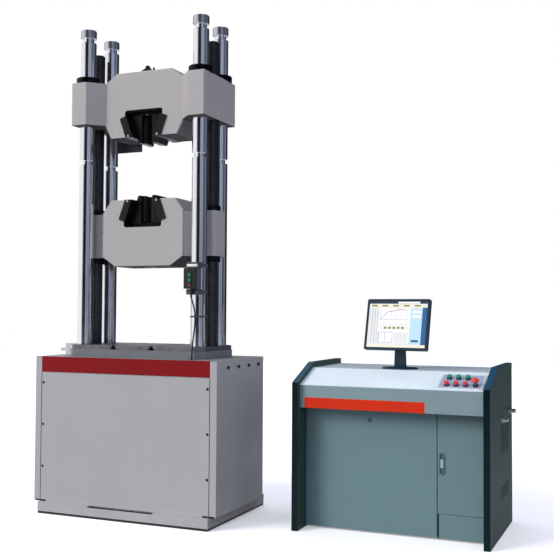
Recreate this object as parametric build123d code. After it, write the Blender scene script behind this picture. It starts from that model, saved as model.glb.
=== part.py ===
from build123d import *
import os
from math import cos, pi, radians, sin, sqrt, tan

# A four-column hydraulic universal testing machine with its control console.
# Millimetres. X to the right, the front faces -Y, Z up.
# The origin is on the floor, under the load axis of the machine.

# Clearances
sliding_gap = 0.3
running_gap = 0.05
seam = 1.5

# Base cabinet of the load frame
cabinet_width = 1100.0
cabinet_depth = 572.0
cabinet_top = 840.0
sheet = 3.0
corner_angle = 35.0
angle_wall = 4.0
header_height = 82.0
side_panel_lift = 7.0
rear_notch = 18.0
front_notch_width = 36.0
front_notch_height = 9.0
plinth_side_inset = 36.0
plinth_front_lip = 18.0
plinth_rear_lip = 98.0
plinth_top = 62.0
plinth_flange = 80.0
channel_wall = 8.0
pad_height = 12.0
pad_inset = 1.0
fork_slot_length = 392.0
fork_slot_depth = 30.0
louvre_count = 9
louvre_length = 220.0
louvre_width = 8.0
louvre_pitch = 26.0
louvre_height = 560.0

# Screws and plugs on the cabinet
panel_screw_radius = 7.0
panel_screw_height = 3.0
panel_screw_inset = 11.5
panel_screw_drop = 58.0
panel_screw_pitch = 225.0
panel_screw_count = 3
side_plug_radius = 8.0
side_plug_height = 10.0
side_plug_drop = 38.0
side_plug_first = -162.0
side_plug_pitch = 125.0
side_plug_count = 4

# Bed inside the cabinet
bed_side_inset = 70.0
bed_front_inset = 46.0
bed_top = 260.0
bed_thickness = 60.0
bed_wall = 35.0
journal_clearance = 4.0

# Main cylinder, ram and worktable
ram_radius = 113.0
cylinder_wall = 37.0
cylinder_floor = 40.0
cylinder_height = 360.0
foot_flange_radius = 190.0
foot_flange_height = 30.0
gland_radius = 165.0
gland_height = 30.0
gland_bolt_count = 8
gland_bolt_radius = 9.0
gland_bolt_height = 12.0
table_side_margin = 65.0
table_front_margin = 85.0
table_bottom = 790.0
table_plate_bottom = 880.0
table_top = 904.0
table_corner = 45.0
table_plate_inset = 3.0
table_opening_gap = 8.0
rib_pocket_length = 130.0
rib_pocket_start = 160.0
rib_pocket_depth = 60.0
rib_thickness = 30.0
rib_edge = 15.0
slot_offset = 117.0
slot_width = 20.0
slot_neck = 12.0
slot_foot_width = 36.0
slot_foot_height = 10.0

# Columns and their nuts
column_x = 355.0
column_y = 115.0
column_radius = 43.5
column_edge = 2.0
groove_bottom = 1899.0
groove_height = 23.0
neck_radius = 31.0
shoulder_level = 2586.0
nut_lift = 25.0
nut_radius = 44.0
nut_height = 45.0
nut_edge = 3.0
nut_slots = 4
nut_slot_width = 10.0
nut_slot_depth = 7.0
stud_recess = 6.0
collar_radius = 65.0
collar_height = 35.0
collar_slot_width = 14.0
collar_slot_depth = 8.0

# Lead screws and their drive
screw_x = 365.0
screw_radius = 36.0
screw_top = 2545.0
screw_edge = 5.0
screw_hole_gap = 6.0
journal_radius = 28.0
journal_bottom = 105.0
bearing_height = 70.0
bearing_flange_radius = 85.0
bearing_flange_height = 25.0
bearing_radius = 62.0
chain_pitch = 19.05
screw_teeth = 20
motor_teeth = 13
roller_radius = 6.0
tooth_height = 4.0
sprocket_bottom = 120.0
sprocket_thickness = 12.0
hub_radius = 45.0
hub_height = 18.0
chain_thickness = 8.0
chain_width = 16.0
motor_x = -230.0
motor_y = -165.0
motor_radius = 60.0
motor_height = 210.0
motor_flange_radius = 70.0
motor_flange_height = 15.0
motor_cover_height = 45.0
motor_shaft_radius = 12.0
motor_shaft_depth = 40.0
terminal_box = 60.0

# Crossheads
body_half_depth = 106.0
body_edge = 6.0
upper_mouth = 2038.0
upper_height = 363.0
upper_top_half = 173.0
upper_top_shoulder_half = 231.0
upper_top_slant = 41.0
upper_bottom_half = 207.0
upper_bottom_shoulder_half = 252.0
upper_bottom_slant = 84.0
ear_bottom = 2115.0
ear_top = 2350.0
ear_side_margin = 59.0
ear_front_margin = 73.0
ear_root = 36.0
ear_corner = 5.0
lower_mouth = 1697.0
lower_height = 367.0
lower_top_half = 200.0
lower_shoulder_half = 252.0
lower_top_slant = 67.0
lower_bottom_half = 174.0
lower_bottom_slant = 53.0
end_bottom = 1383.0
end_top = 1625.0
end_margin = 57.0
end_half_depth = 65.0
end_corner = 15.0
screw_nut_radius = 46.0
screw_nut_flange_radius = 50.0
screw_nut_top_flange = 30.0
screw_nut_bottom_flange = 32.0

# Wedge grips, the same in both crossheads; heights are counted from the mouth
wedge_angle = 20.0
mouth_half = 108.0
wedge_depth = 107.0
pocket_half = 118.0
pocket_height = 152.0
pocket_corner = 14.0
liner_thickness = 41.0
liner_proud = 8.0
jaw_half_depth = 61.0
jaw_gap_half = 20.0
jaw_out = 26.0
jaw_height = 126.0
insert_thickness = 16.0
insert_half_depth = 42.0
insert_edge = 10.0
vee_half = 11.0
vee_depth = 8.0
yoke_half_width = 96.0
yoke_half_depth = 56.0
yoke_thickness = 22.0
yoke_rod_radius = 14.0
rod_hole_gap = 2.0
grip_cylinder_radius = 33.0
grip_cylinder_start = 200.0
grip_cylinder_wall = 9.0
grip_cylinder_end = 15.0
piston_start = 262.0
piston_height = 26.0
grip_cap_radius = 37.0
grip_cap_height = 28.0
grip_cap_dome = 8.0
grip_nipple_radius = 8.0
grip_nipple_tip = 3.0
grip_nipple_height = 18.0

# Stroke sensor bracket on the left end of the worktable
stroke_plate_width = 70.0
stroke_plate_thickness = 5.0
stroke_plate_lift = 3.0
stroke_plate_height = 64.0
stroke_plate_y = -105.0
stroke_slot_half = 5.0
stroke_slot_start = 21.0
stroke_slot_height = 29.0
stroke_foot_depth = 60.0
stroke_arm_length = 32.0
stroke_arm_height = 16.0

# Push-button pendant on the front right column
pendant_width = 76.0
pendant_depth = 56.0
pendant_bottom = 1205.0
pendant_height = 107.0
pendant_edge = 5.0
pendant_standoff = 3.0
pendant_button_radius = 11.0
pendant_button_height = 7.0
pendant_button_top = 1277.0
pendant_button_pitch = 27.0
pendant_bore_depth = 14.0
clamp_width = 68.0
clamp_top_low = 1314.0
clamp_top_high = 1344.0
clamp_foot_low = 1175.0
clamp_foot_high = 1203.0
clamp_depth = 34.0
strap_thickness = 2.5
strap_height = 16.0
backplate_thickness = 3.0
backplate_width = 40.0
tie_level = 1061.0
tie_height = 10.0
tie_thickness = 1.5

# Pendant cable, on the moving frame from the box down to a gland on the worktable
cable_radius = 4.0
cable_route = (
    (358.0, -205.0, 1186.0),
    (358.0, -205.0, 1157.0),
    (364.0, -192.0, 1122.0),
    (363.0, -174.0, 1088.0),
    (361.0, -165.0, 1046.0),
    (361.0, -171.0, 1000.0),
    (364.0, -190.0, 950.0),
    (370.0, -212.0, 902.0),
    (373.0, -221.0, 864.0),
    (373.0, -221.0, 826.0),
)
gland_nut_radius = 9.0
gland_nut_height = 10.0
gland_cone_radius = 7.0
cable_bracket_low = 796.0
cable_bracket_thickness = 6.0
cable_bracket_half = 14.0
cable_bracket_reach = 38.0
cable_notch_gap = 6.0

# Control console beside the frame
console_left = 883.0
console_width = 979.0
console_front = -111.0
console_back = 555.0
console_side = 31.0
console_side_wall = 2.0
console_top = 827.0
console_corner_level = 736.0
console_slope_end = 116.0
desk_level = 800.0
desk_front_level = 725.0
desk_slope_end = 105.0
desk_front_inset = 29.0
desk_sheet = 3.0
band_bottom = 610.0
door_front = 6.0
door_thickness = 20.0
door_sheet = 2.0
door_bottom = 8.0
door_gap = 2.0
door_split = 1590.0
low_panel_top = 124.0
carcass_front = 30.0
carcass_sheet = 3.0
carcass_floor = 40.0
post_size = 30.0
shelf_level = 130.0
hinge_pin_radius = 4.0
hinge_pin_setback = 5.0
hinge_pin_inset = 8.0
vent_first = 210.0
vent_count = 9
vent_pitch = 27.0
vent_width = 8.0
vent_low = 400.0
vent_high = 560.0
low_vent_low = 172.0
low_vent_high = 236.0

# Door furniture
lock_x = 1252.0
lock_level = 554.0
lock_radius = 9.0
lock_proud = 4.0
lock_cam_length = 30.0
lock_cam_width = 12.0
lock_cam_thickness = 3.0
handle_x = 1612.0
handle_low = 312.0
handle_high = 417.0
handle_half_width = 14.0
handle_proud = 6.0
handle_recess_half = 7.0

# Button plate on the desk slope; distances run up the slope from its front edge
plate_left = 1603.0
plate_width = 215.0
plate_start = 13.0
plate_length = 152.0
plate_thickness = 4.0
button_first_x = 1647.0
button_pitch = 45.0
green_row = 113.0
red_row = 42.0
button_radius = 11.5
button_height = 20.5
button_seat = 1.0
button_lift = 0.5
bezel_radius = 13.0
bezel_height = 10.0
stop_x = 1784.0
stop_stem_radius = 9.0
stop_stem_height = 24.0
stop_head_radius = 18.5
stop_head_height = 15.0

# Monitor on the desk
monitor_x = 1352.0
monitor_y = 205.0
monitor_width = 341.0
monitor_height = 266.0
monitor_depth = 22.0
monitor_bezel = 13.0
monitor_tilt = 13.0
monitor_turn = 6.0
monitor_low = 884.0
bulge_width = 220.0
bulge_height = 150.0
bulge_depth = 30.0
stand_width = 190.0
stand_depth = 150.0
stand_thickness = 8.0
neck_width = 46.0
neck_depth = 26.0
neck_foot_width = 58.0
pivot_level = 985.0
pivot_radius = 11.0
pivot_setback = 52.0
pivot_ear = 12.0

# Inside the console
tank_left = 960.0
tank_width = 560.0
tank_front = 90.0
tank_depth = 340.0
tank_height = 250.0
tank_lid = 12.0
tank_lid_edge = 6.0
pump_radius = 70.0
pump_length = 300.0
pump_inset = 40.0
pump_lift = 8.0
pump_foot_half = 50.0
valve_block = 110.0
computer_width = 175.0
computer_depth = 400.0
computer_height = 400.0
computer_left = 1625.0
computer_front = 70.0
coupling_places = ((452.0, 586.0), (205.0, 566.0))
coupling_hex_radius = 17.0
coupling_hex_length = 14.0
coupling_nipple_radius = 11.0
coupling_length = 34.0

half_width = cabinet_width / 2
half_depth = cabinet_depth / 2
slope = tan(radians(wedge_angle))
panel_half = half_width - sheet - corner_angle - seam
bore_radius = ram_radius + running_gap
cylinder_top = bed_top + cylinder_height
ram_bottom = bed_top + cylinder_floor + sliding_gap
bearing_top = bed_top + bearing_height
column_bore = column_radius + running_gap
screw_hole = screw_radius + screw_hole_gap
corners = [(sx, sy) for sx in (-1, 1) for sy in (-1, 1)]
table_width = 2 * (column_x + table_side_margin)
table_depth = 2 * (column_y + table_front_margin)
ear_half_width = column_x + ear_side_margin
ear_half_depth = column_y + ear_front_margin
ear_inner = column_x - ear_root
end_half_width = screw_x + end_margin
top_panel_screw = cabinet_top - header_height - panel_screw_drop
side_plug_level = cabinet_top - side_plug_drop
plinth_half_width = half_width - plinth_side_inset
plinth_front = -half_depth - plinth_front_lip
plinth_rear = half_depth + plinth_rear_lip
bed_width = cabinet_width - 2 * bed_side_inset
bed_depth = cabinet_depth - 2 * bed_front_inset
stroke_plate_low = cabinet_top + stroke_plate_lift
stroke_slot_low = stroke_plate_low + stroke_slot_start
console_right = console_left + console_width
inside_left = console_left + console_side
inside_right = console_right - console_side
desk_front = console_front + desk_front_inset
slope_run = desk_slope_end - desk_front
slope_rise = desk_level - desk_front_level


def block(x0, x1, y0, y1, z0, z1):
    centre = Pos((x0 + x1) / 2, (y0 + y1) / 2, (z0 + z1) / 2)
    return centre * Box(abs(x1 - x0), abs(y1 - y0), abs(z1 - z0))


def rod(x, y, z0, z1, radius):
    return Pos(x, y, (z0 + z1) / 2) * Cylinder(radius, abs(z1 - z0))


def prism_x(points, x0, x1):
    outline = Polyline(*[(x0, y, z) for y, z in points], close=True)
    return extrude(make_face(outline), amount=x1 - x0, dir=(1, 0, 0))


def prism_y(points, y0, y1):
    outline = Polyline(*[(x, y0, z) for x, z in points], close=True)
    return extrude(make_face(outline), amount=y1 - y0, dir=(0, 1, 0))


def prism_z(points, z0, z1):
    outline = Polyline(*[(x, y, z0) for x, y in points], close=True)
    return extrude(make_face(outline), amount=z1 - z0, dir=(0, 0, 1))


def turned(profile):
    outline = Polyline(*[(r, 0, z) for r, z in profile], close=True)
    return revolve(make_face(outline), axis=Axis.Z)


def group(*shapes):
    return Compound([solid for shape in shapes for solid in shape.solids()])


def mirrored(points):
    return points + [(-x, z) for x, z in reversed(points)]


def octagon(half_x, half_y, cut):
    right = [(half_x - cut, -half_y), (half_x, -half_y + cut), (half_x, half_y - cut), (half_x - cut, half_y)]
    return mirrored(right)


# Base cabinet


def plinth_ring(inset, z0, z1):
    """Block of the plinth's outline, set in all round by the same amount."""
    w = plinth_half_width - inset
    return block(-w, w, plinth_front + inset, plinth_rear - inset, z0, z1)


def plinth():
    ring = plinth_ring(0, pad_height, plinth_top)
    ring -= plinth_ring(plinth_flange, pad_height, plinth_top)
    ring -= plinth_ring(channel_wall, pad_height + channel_wall, plinth_top - channel_wall)
    s, y = fork_slot_length / 2, plinth_front
    ring -= block(-s, s, y, y + fork_slot_depth, plinth_top - channel_wall, plinth_top)
    return group(ring, plinth_ring(pad_inset, 0, pad_height))


def angle_along_x(y_out, sy, z_out, sz):
    x = half_width - sheet
    upright = block(-x, x, y_out, y_out - sy * angle_wall, z_out, z_out - sz * corner_angle)
    return upright + block(-x, x, y_out, y_out - sy * corner_angle, z_out, z_out - sz * angle_wall)


def angle_along_y(sx, z_out, sz):
    x = sx * (half_width - sheet)
    y = half_depth - sheet
    upright = block(x, x - sx * angle_wall, -y, y, z_out, z_out - sz * corner_angle)
    return upright + block(x, x - sx * corner_angle, -y, y, z_out, z_out - sz * angle_wall)


def cabinet_frame():
    x_out = half_width - sheet
    top = cabinet_top - sheet
    frame = None
    for sx, sy in corners:
        x, y = sx * x_out, sy * half_depth
        post = block(x, x - sx * corner_angle, y, y - sy * corner_angle, plinth_top, top)
        inner_x, inner_y = x - sx * angle_wall, y - sy * angle_wall
        post -= block(inner_x, x - sx * corner_angle, inner_y, y - sy * corner_angle, plinth_top, top)
        if sy < 0:
            notch_top = plinth_top + front_notch_height
            post -= block(inner_x, x - sx * corner_angle, y, inner_y, plinth_top, notch_top)
        frame = post if frame is None else frame + post
    for level, sz in ((plinth_top, -1), (top, 1)):
        for side in (-1, 1):
            frame += angle_along_x(side * (half_depth - sheet), side, level, sz)
            frame += angle_along_y(side, level, sz)
    return frame


def front_panel():
    top = cabinet_top - header_height - seam
    bottom = plinth_top + sliding_gap
    y0, y1 = -half_depth, -half_depth + sheet
    panel = block(-panel_half, panel_half, y0, y1, bottom, top)
    for sx in (-1, 1):
        x = sx * (panel_half - front_notch_width)
        panel -= block(x, sx * panel_half, y0, y1, bottom, plinth_top + front_notch_height)
    return panel


def header_strip():
    bottom = cabinet_top - header_height
    return block(-panel_half, panel_half, -half_depth, -half_depth + sheet, bottom, cabinet_top)


def side_panels():
    shapes = []
    low = plinth_top + side_panel_lift
    for sx in (-1, 1):
        x_in, x_out = sx * (half_width - sheet), sx * half_width
        panel = block(x_in, x_out, -half_depth, half_depth, low, cabinet_top)
        panel -= block(x_in, x_out, half_depth - 2 * rear_notch, half_depth, low, low + rear_notch)
        shapes.append(panel)
    return group(*shapes)


def rear_panel():
    y0, y1 = half_depth - sheet, half_depth
    panel = block(-panel_half, panel_half, y0, y1, plinth_top + sliding_gap, cabinet_top)
    for sx in (-1, 1):
        for row in range(louvre_count):
            z = louvre_height - row * louvre_pitch
            x = sx * panel_half / 2
            half, rise = louvre_length / 2, louvre_width / 2
            panel -= block(x - half, x + half, y0, y1, z - rise, z + rise)
    return panel


def table_outline(gap):
    return octagon(table_width / 2 + gap, table_depth / 2 + gap, table_corner)


def deck_cover():
    x, y = half_width - sheet - sliding_gap, half_depth - sheet - sliding_gap
    deck = block(-x, x, -y, y, cabinet_top - sheet, cabinet_top)
    deck -= prism_z(table_outline(table_opening_gap), cabinet_top - sheet, cabinet_top)
    cable_x, cable_y = cable_route[-1][0], -table_depth / 2
    w = cable_bracket_half + cable_notch_gap
    reach = cable_y - cable_bracket_reach - cable_notch_gap
    return deck - block(cable_x - w, cable_x + w, reach, cable_y, cabinet_top - sheet, cabinet_top)


def disc(radius, height):
    return Cylinder(radius, height, align=(Align.CENTER, Align.CENTER, Align.MIN))


def panel_screws():
    heads = []
    head = disc(panel_screw_radius, panel_screw_height)
    x = panel_half - panel_screw_inset
    for sx in (-1, 1):
        for row in range(panel_screw_count):
            z = top_panel_screw - row * panel_screw_pitch
            heads.append(Pos(sx * x, -half_depth, z) * Rot(90, 0, 0) * head)
            heads.append(Pos(sx * x, half_depth, z) * Rot(-90, 0, 0) * head)
    plug = disc(side_plug_radius, side_plug_height)
    for sx in (-1, 1):
        for i in range(side_plug_count):
            y = side_plug_first + i * side_plug_pitch
            heads.append(Pos(sx * half_width, y, side_plug_level) * Rot(0, sx * 90, 0) * plug)
    return group(*heads)


# Bed, main cylinder and screw drive


def bed_plate():
    w, d = bed_width / 2, bed_depth / 2
    bed = block(-w, w, -d, d, bed_top - bed_thickness, bed_top)
    for sx in (-1, 1):
        bed += block(sx * w, sx * (w - bed_wall), -d, d, plinth_top, bed_top)
        hole = journal_radius + journal_clearance
        bed -= rod(sx * screw_x, 0, bed_top - bed_thickness, bed_top, hole)
    hole = motor_shaft_radius + journal_clearance
    return bed - rod(motor_x, motor_y, bed_top - bed_thickness, bed_top, hole)


def main_cylinder():
    barrel = rod(0, 0, bed_top, cylinder_top, ram_radius + cylinder_wall)
    barrel += rod(0, 0, bed_top, bed_top + foot_flange_height, foot_flange_radius)
    barrel -= rod(0, 0, bed_top + cylinder_floor, cylinder_top, bore_radius)
    gland = rod(0, 0, cylinder_top, cylinder_top + gland_height, gland_radius)
    gland -= rod(0, 0, cylinder_top, cylinder_top + gland_height, bore_radius)
    top = cylinder_top + gland_height
    bolt_circle = (gland_radius + bore_radius) / 2
    for i in range(gland_bolt_count):
        a = 2 * pi * i / gland_bolt_count
        x, y = bolt_circle * cos(a), bolt_circle * sin(a)
        gland += Pos(x, y, top) * extrude(RegularPolygon(gland_bolt_radius, 6), amount=gland_bolt_height)
    return group(barrel, gland)


def screw_bearings():
    shapes = []
    bore = journal_radius + running_gap
    for sx in (-1, 1):
        x = sx * screw_x
        housing = rod(x, 0, bed_top, bed_top + bearing_flange_height, bearing_flange_radius)
        housing += rod(x, 0, bed_top, bearing_top, bearing_radius)
        shapes.append(housing - rod(x, 0, bed_top, bearing_top, bore))
    return group(*shapes)


def pitch_radius(teeth):
    return chain_pitch / (2 * sin(pi / teeth))


def sprocket(teeth, bore):
    top = sprocket_bottom + sprocket_thickness
    wheel = rod(0, 0, sprocket_bottom, top, pitch_radius(teeth) + tooth_height)
    for i in range(teeth):
        a = 2 * pi * i / teeth
        x, y = pitch_radius(teeth) * cos(a), pitch_radius(teeth) * sin(a)
        wheel -= rod(x, y, sprocket_bottom, top, roller_radius)
    hub = min(hub_radius, pitch_radius(teeth) - 2 * roller_radius)
    wheel += rod(0, 0, top, top + hub_height, hub)
    return wheel - rod(0, 0, sprocket_bottom, top + hub_height, bore)


def lead_screw(sx):
    start = bearing_top + sliding_gap
    outline = [
        (0, journal_bottom),
        (journal_radius, journal_bottom),
        (journal_radius, start),
        (screw_radius, start),
        (screw_radius, screw_top - screw_edge),
        (screw_radius - screw_edge, screw_top),
        (0, screw_top),
    ]
    wheel = sprocket(screw_teeth, journal_radius + running_gap)
    return Pos(sx * screw_x, 0, 0) * group(turned(outline), wheel)


def motor_sprocket():
    wheel = sprocket(motor_teeth, motor_shaft_radius + running_gap)
    shaft = rod(0, 0, journal_bottom, bed_top + motor_shaft_depth - 1, motor_shaft_radius)
    return Pos(motor_x, motor_y, 0) * group(wheel, shaft)


def chain_loop(offset_out):
    rings = []
    wheels = ((-screw_x, 0, screw_teeth), (screw_x, 0, screw_teeth), (motor_x, motor_y, motor_teeth))
    for x, y, teeth in wheels:
        radius = pitch_radius(teeth) + tooth_height + offset_out
        rings += (Pos(x, y, 0) * Circle(radius)).edges()
    return make_hull(rings)


def drive_chain():
    middle = sprocket_bottom + sprocket_thickness / 2
    loop = chain_loop(sliding_gap + chain_thickness) - chain_loop(sliding_gap)
    return extrude(Pos(0, 0, middle - chain_width / 2) * loop, amount=chain_width, dir=(0, 0, 1))


def drive_motor():
    body = rod(motor_x, motor_y, bed_top, bed_top + motor_flange_height, motor_flange_radius)
    top = bed_top + motor_height
    body += rod(motor_x, motor_y, bed_top, top, motor_radius)
    cover = turned([
        (0, top), (motor_radius + 3, top), (motor_radius + 3, top + motor_cover_height - 12),
        (motor_radius - 9, top + motor_cover_height), (0, top + motor_cover_height),
    ])
    body += Pos(motor_x, motor_y, 0) * cover
    side = motor_x - motor_radius
    half = terminal_box / 2
    middle = bed_top + motor_height / 2
    y0, y1 = motor_y - half, motor_y + half
    body += block(side - half, side + half, y0, y1, middle - half, middle + half)
    bore = motor_shaft_radius + running_gap
    return body - rod(motor_x, motor_y, bed_top, bed_top + motor_shaft_depth, bore)


# Moving frame


def ram():
    return rod(0, 0, ram_bottom, table_bottom, ram_radius)


def worktable():
    table = prism_z(table_outline(0), table_bottom, table_plate_bottom)
    table += prism_z(table_outline(-table_plate_inset), table_plate_bottom, table_top)
    for sx, sy in corners:
        x0, x1 = rib_pocket_start, rib_pocket_start + rib_pocket_length
        y0, y1 = rib_thickness / 2, table_depth / 2 - rib_edge
        table -= block(sx * x0, sx * x1, sy * y0, sy * y1, table_bottom, table_bottom + rib_pocket_depth)
        table -= rod(sx * column_x, sy * column_y, table_bottom, table_top, column_bore)
    for sx in (-1, 1):
        table -= rod(sx * screw_x, 0, table_bottom, table_top, screw_hole)
        x = sx * slot_offset
        neck = table_top - slot_neck
        table -= block(x - slot_width / 2, x + slot_width / 2, -table_depth, table_depth, neck, table_top)
        foot = slot_foot_width / 2
        table -= block(x - foot, x + foot, -table_depth, table_depth, neck - slot_foot_height, neck)
    return table


def column():
    e = column_edge
    groove_top = groove_bottom + groove_height
    top = shoulder_level + nut_lift + nut_height - stud_recess
    return turned([
        (0, table_bottom),
        (column_radius, table_bottom),
        (column_radius, groove_bottom),
        (neck_radius, groove_bottom),
        (neck_radius, groove_top),
        (column_radius, groove_top),
        (column_radius, shoulder_level - e),
        (column_radius - e, shoulder_level),
        (neck_radius, shoulder_level),
        (neck_radius, top),
        (0, top),
    ])


def columns():
    one = column()
    return group(*[Pos(sx * column_x, sy * column_y, 0) * one for sx, sy in corners])


def slotted_nut(bottom, height, radius, bore, width, depth):
    """Round nut with slots for a hook spanner; width and depth are those of one slot."""
    top = bottom + height
    e = nut_edge
    nut = turned([(bore, bottom), (radius, bottom), (radius, top - e), (radius - e, top), (bore, top)])
    for i in range(nut_slots):
        slot = block(radius - depth, radius + e, -width / 2, width / 2, bottom, top)
        nut -= Rot(0, 0, 45 + 360 * i / nut_slots) * slot
    return nut


def column_nuts():
    bottom = shoulder_level + nut_lift
    bore = neck_radius + running_gap
    cap = slotted_nut(bottom, nut_height, nut_radius, bore, nut_slot_width, nut_slot_depth)
    width, depth = collar_slot_width, collar_slot_depth
    collar = slotted_nut(ear_top, collar_height, collar_radius, column_bore, width, depth)
    shapes = []
    for sx, sy in corners:
        place = Pos(sx * column_x, sy * column_y, 0)
        shapes += [place * cap, place * collar]
    return group(*shapes)


def grip_pocket(mouth, up):
    """Wedge cavity and yoke space, cut from front to back; up is the way into the crosshead."""
    inner_half = mouth_half + wedge_depth * slope
    over = 2.0
    right = [
        (mouth_half - over * slope, mouth - up * over),
        (inner_half, mouth + up * wedge_depth),
        (pocket_half, mouth + up * (wedge_depth + (inner_half - pocket_half) * slope)),
        (pocket_half, mouth + up * pocket_height),
    ]
    cut = prism_y(mirrored(right), -body_half_depth, body_half_depth)
    along = cut.edges().filter_by(Axis.Y).sort_by(Axis.Z)
    return fillet(along[-2:] if up > 0 else along[:2], pocket_corner)


def grip_bores(mouth, up, height):
    cylinder_start = mouth + up * grip_cylinder_start
    bore = rod(0, 0, cylinder_start, mouth + up * height, grip_cylinder_radius + running_gap)
    roof = mouth + up * (pocket_height - 1)
    return bore + rod(0, 0, roof, cylinder_start, yoke_rod_radius + rod_hole_gap)


def rounded_body(outline):
    body = prism_y(outline, -body_half_depth, body_half_depth)
    for y in (-body_half_depth, body_half_depth):
        rim = body.edges().filter_by_position(Axis.Y, y - 0.01, y + 0.01)
        body = fillet(rim, body_edge)
    return body


def upper_crosshead():
    top = upper_mouth + upper_height
    outline = mirrored([
        (upper_bottom_half, upper_mouth),
        (upper_bottom_shoulder_half, upper_mouth + upper_bottom_slant),
        (upper_bottom_shoulder_half, top - upper_top_slant - 20),
        (upper_top_shoulder_half, top - upper_top_slant),
        (upper_top_half, top),
    ])
    body = rounded_body(outline)
    step = ear_half_depth - body_half_depth
    right = [
        (ear_inner - step, -body_half_depth),
        (ear_inner, -ear_half_depth),
        (ear_half_width - ear_corner, -ear_half_depth),
        (ear_half_width, -ear_half_depth + ear_corner),
        (ear_half_width, ear_half_depth - ear_corner),
        (ear_half_width - ear_corner, ear_half_depth),
        (ear_inner, ear_half_depth),
        (ear_inner - step, body_half_depth),
    ]
    body += prism_z(mirrored(right), ear_bottom, ear_top)
    body -= grip_pocket(upper_mouth, 1)
    body -= grip_bores(upper_mouth, 1, upper_height)
    for sx, sy in corners:
        body -= rod(sx * column_x, sy * column_y, ear_bottom, ear_top, column_bore)
    for sx in (-1, 1):
        body -= rod(sx * screw_x, 0, ear_bottom, ear_top, screw_hole)
    return body


def lower_crosshead():
    bottom = lower_mouth - lower_height
    outline = mirrored([
        (lower_bottom_half, bottom),
        (lower_shoulder_half, bottom + lower_bottom_slant),
        (lower_shoulder_half, lower_mouth - lower_top_slant),
        (lower_top_half, lower_mouth),
    ])
    body = rounded_body(outline)
    step = body_half_depth - end_half_depth
    right = [
        (lower_shoulder_half, -body_half_depth + body_edge),
        (lower_shoulder_half + step - body_edge, -end_half_depth),
        (end_half_width - end_corner, -end_half_depth),
        (end_half_width, -end_half_depth + end_corner),
        (end_half_width, end_half_depth - end_corner),
        (end_half_width - end_corner, end_half_depth),
        (lower_shoulder_half + step - body_edge, end_half_depth),
        (lower_shoulder_half, body_half_depth - body_edge),
    ]
    body += prism_z(mirrored(right), end_bottom, end_top)
    body -= grip_pocket(lower_mouth, -1)
    body -= grip_bores(lower_mouth, -1, lower_height)
    for sx in (-1, 1):
        body -= rod(sx * screw_x, 0, end_bottom, end_top, screw_nut_radius + running_gap)
    return body


def screw_nuts():
    shapes = []
    top = end_top + screw_nut_top_flange
    bottom = end_bottom - screw_nut_bottom_flange
    for sx in (-1, 1):
        x = sx * screw_x
        nut = rod(x, 0, end_bottom, end_top, screw_nut_radius)
        nut += rod(x, 0, end_top, top, screw_nut_flange_radius)
        nut += rod(x, 0, bottom, end_bottom, screw_nut_flange_radius)
        shapes.append(nut - rod(x, 0, bottom, top, screw_radius + running_gap))
    return group(*shapes)


# Wedge grips


def guide_plates(mouth, up):
    a = radians(wedge_angle)
    inner_half = mouth_half + wedge_depth * slope
    right = [
        (mouth_half, mouth),
        (inner_half, mouth + up * wedge_depth),
        (inner_half - liner_thickness * cos(a), mouth + up * (wedge_depth + liner_thickness * sin(a))),
        (mouth_half - liner_thickness / cos(a), mouth),
    ]
    y = body_half_depth + liner_proud
    left = [(-x, z) for x, z in right]
    return group(prism_y(right, -y, y), prism_y(left, -y, y))


def jaw(mouth, up, sx):
    """Wedge block with its serrated insert, pressed against one guide plate."""
    a = radians(wedge_angle)
    face = mouth_half - (liner_thickness + sliding_gap) / cos(a)
    back = jaw_gap_half + insert_thickness
    wedge = prism_y(
        [
            (sx * back, mouth - up * jaw_out),
            (sx * (face - jaw_out * slope), mouth - up * jaw_out),
            (sx * (face + jaw_height * slope), mouth + up * jaw_height),
            (sx * back, mouth + up * jaw_height),
        ],
        -jaw_half_depth,
        jaw_half_depth,
    )
    low, high = mouth - up * jaw_out, mouth + up * (jaw_height - insert_edge)
    y = insert_half_depth
    insert = block(sx * jaw_gap_half, sx * back, -y, y, low, high)
    grip = sx * jaw_gap_half
    notch = [(grip, -vee_half), (grip + sx * vee_depth, 0), (grip, vee_half)]
    vee = prism_z(notch, min(low, high), max(low, high))
    return group(wedge, insert - vee)


def jaw_yoke(mouth, up):
    low = mouth + up * (jaw_height + sliding_gap)
    high = low + up * yoke_thickness
    yoke = block(-yoke_half_width, yoke_half_width, -yoke_half_depth, yoke_half_depth, low, high)
    piston = mouth + up * piston_start
    yoke += rod(0, 0, high, piston, yoke_rod_radius)
    radius = grip_cylinder_radius - grip_cylinder_wall
    return yoke + rod(0, 0, piston, piston + up * piston_height, radius)


def grip_cylinder(mouth, up, height, proud):
    start, end = mouth + up * grip_cylinder_start, mouth + up * height
    bore = grip_cylinder_radius - grip_cylinder_wall + running_gap
    body = rod(0, 0, start, end, grip_cylinder_radius)
    body -= rod(0, 0, start + up * grip_cylinder_end, end - up * grip_cylinder_end, bore)
    body -= rod(0, 0, start, start + up * grip_cylinder_end, yoke_rod_radius + running_gap)
    if proud:
        cap = end + up * grip_cap_height
        tip = cap + up * grip_nipple_height
        body += turned([
            (0, end),
            (grip_cap_radius, end),
            (grip_cap_radius, cap - up * grip_cap_dome),
            (grip_nipple_radius, cap),
            (grip_nipple_tip, tip),
            (0, tip),
        ])
    return body


# Pieces on the moving frame


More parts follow.
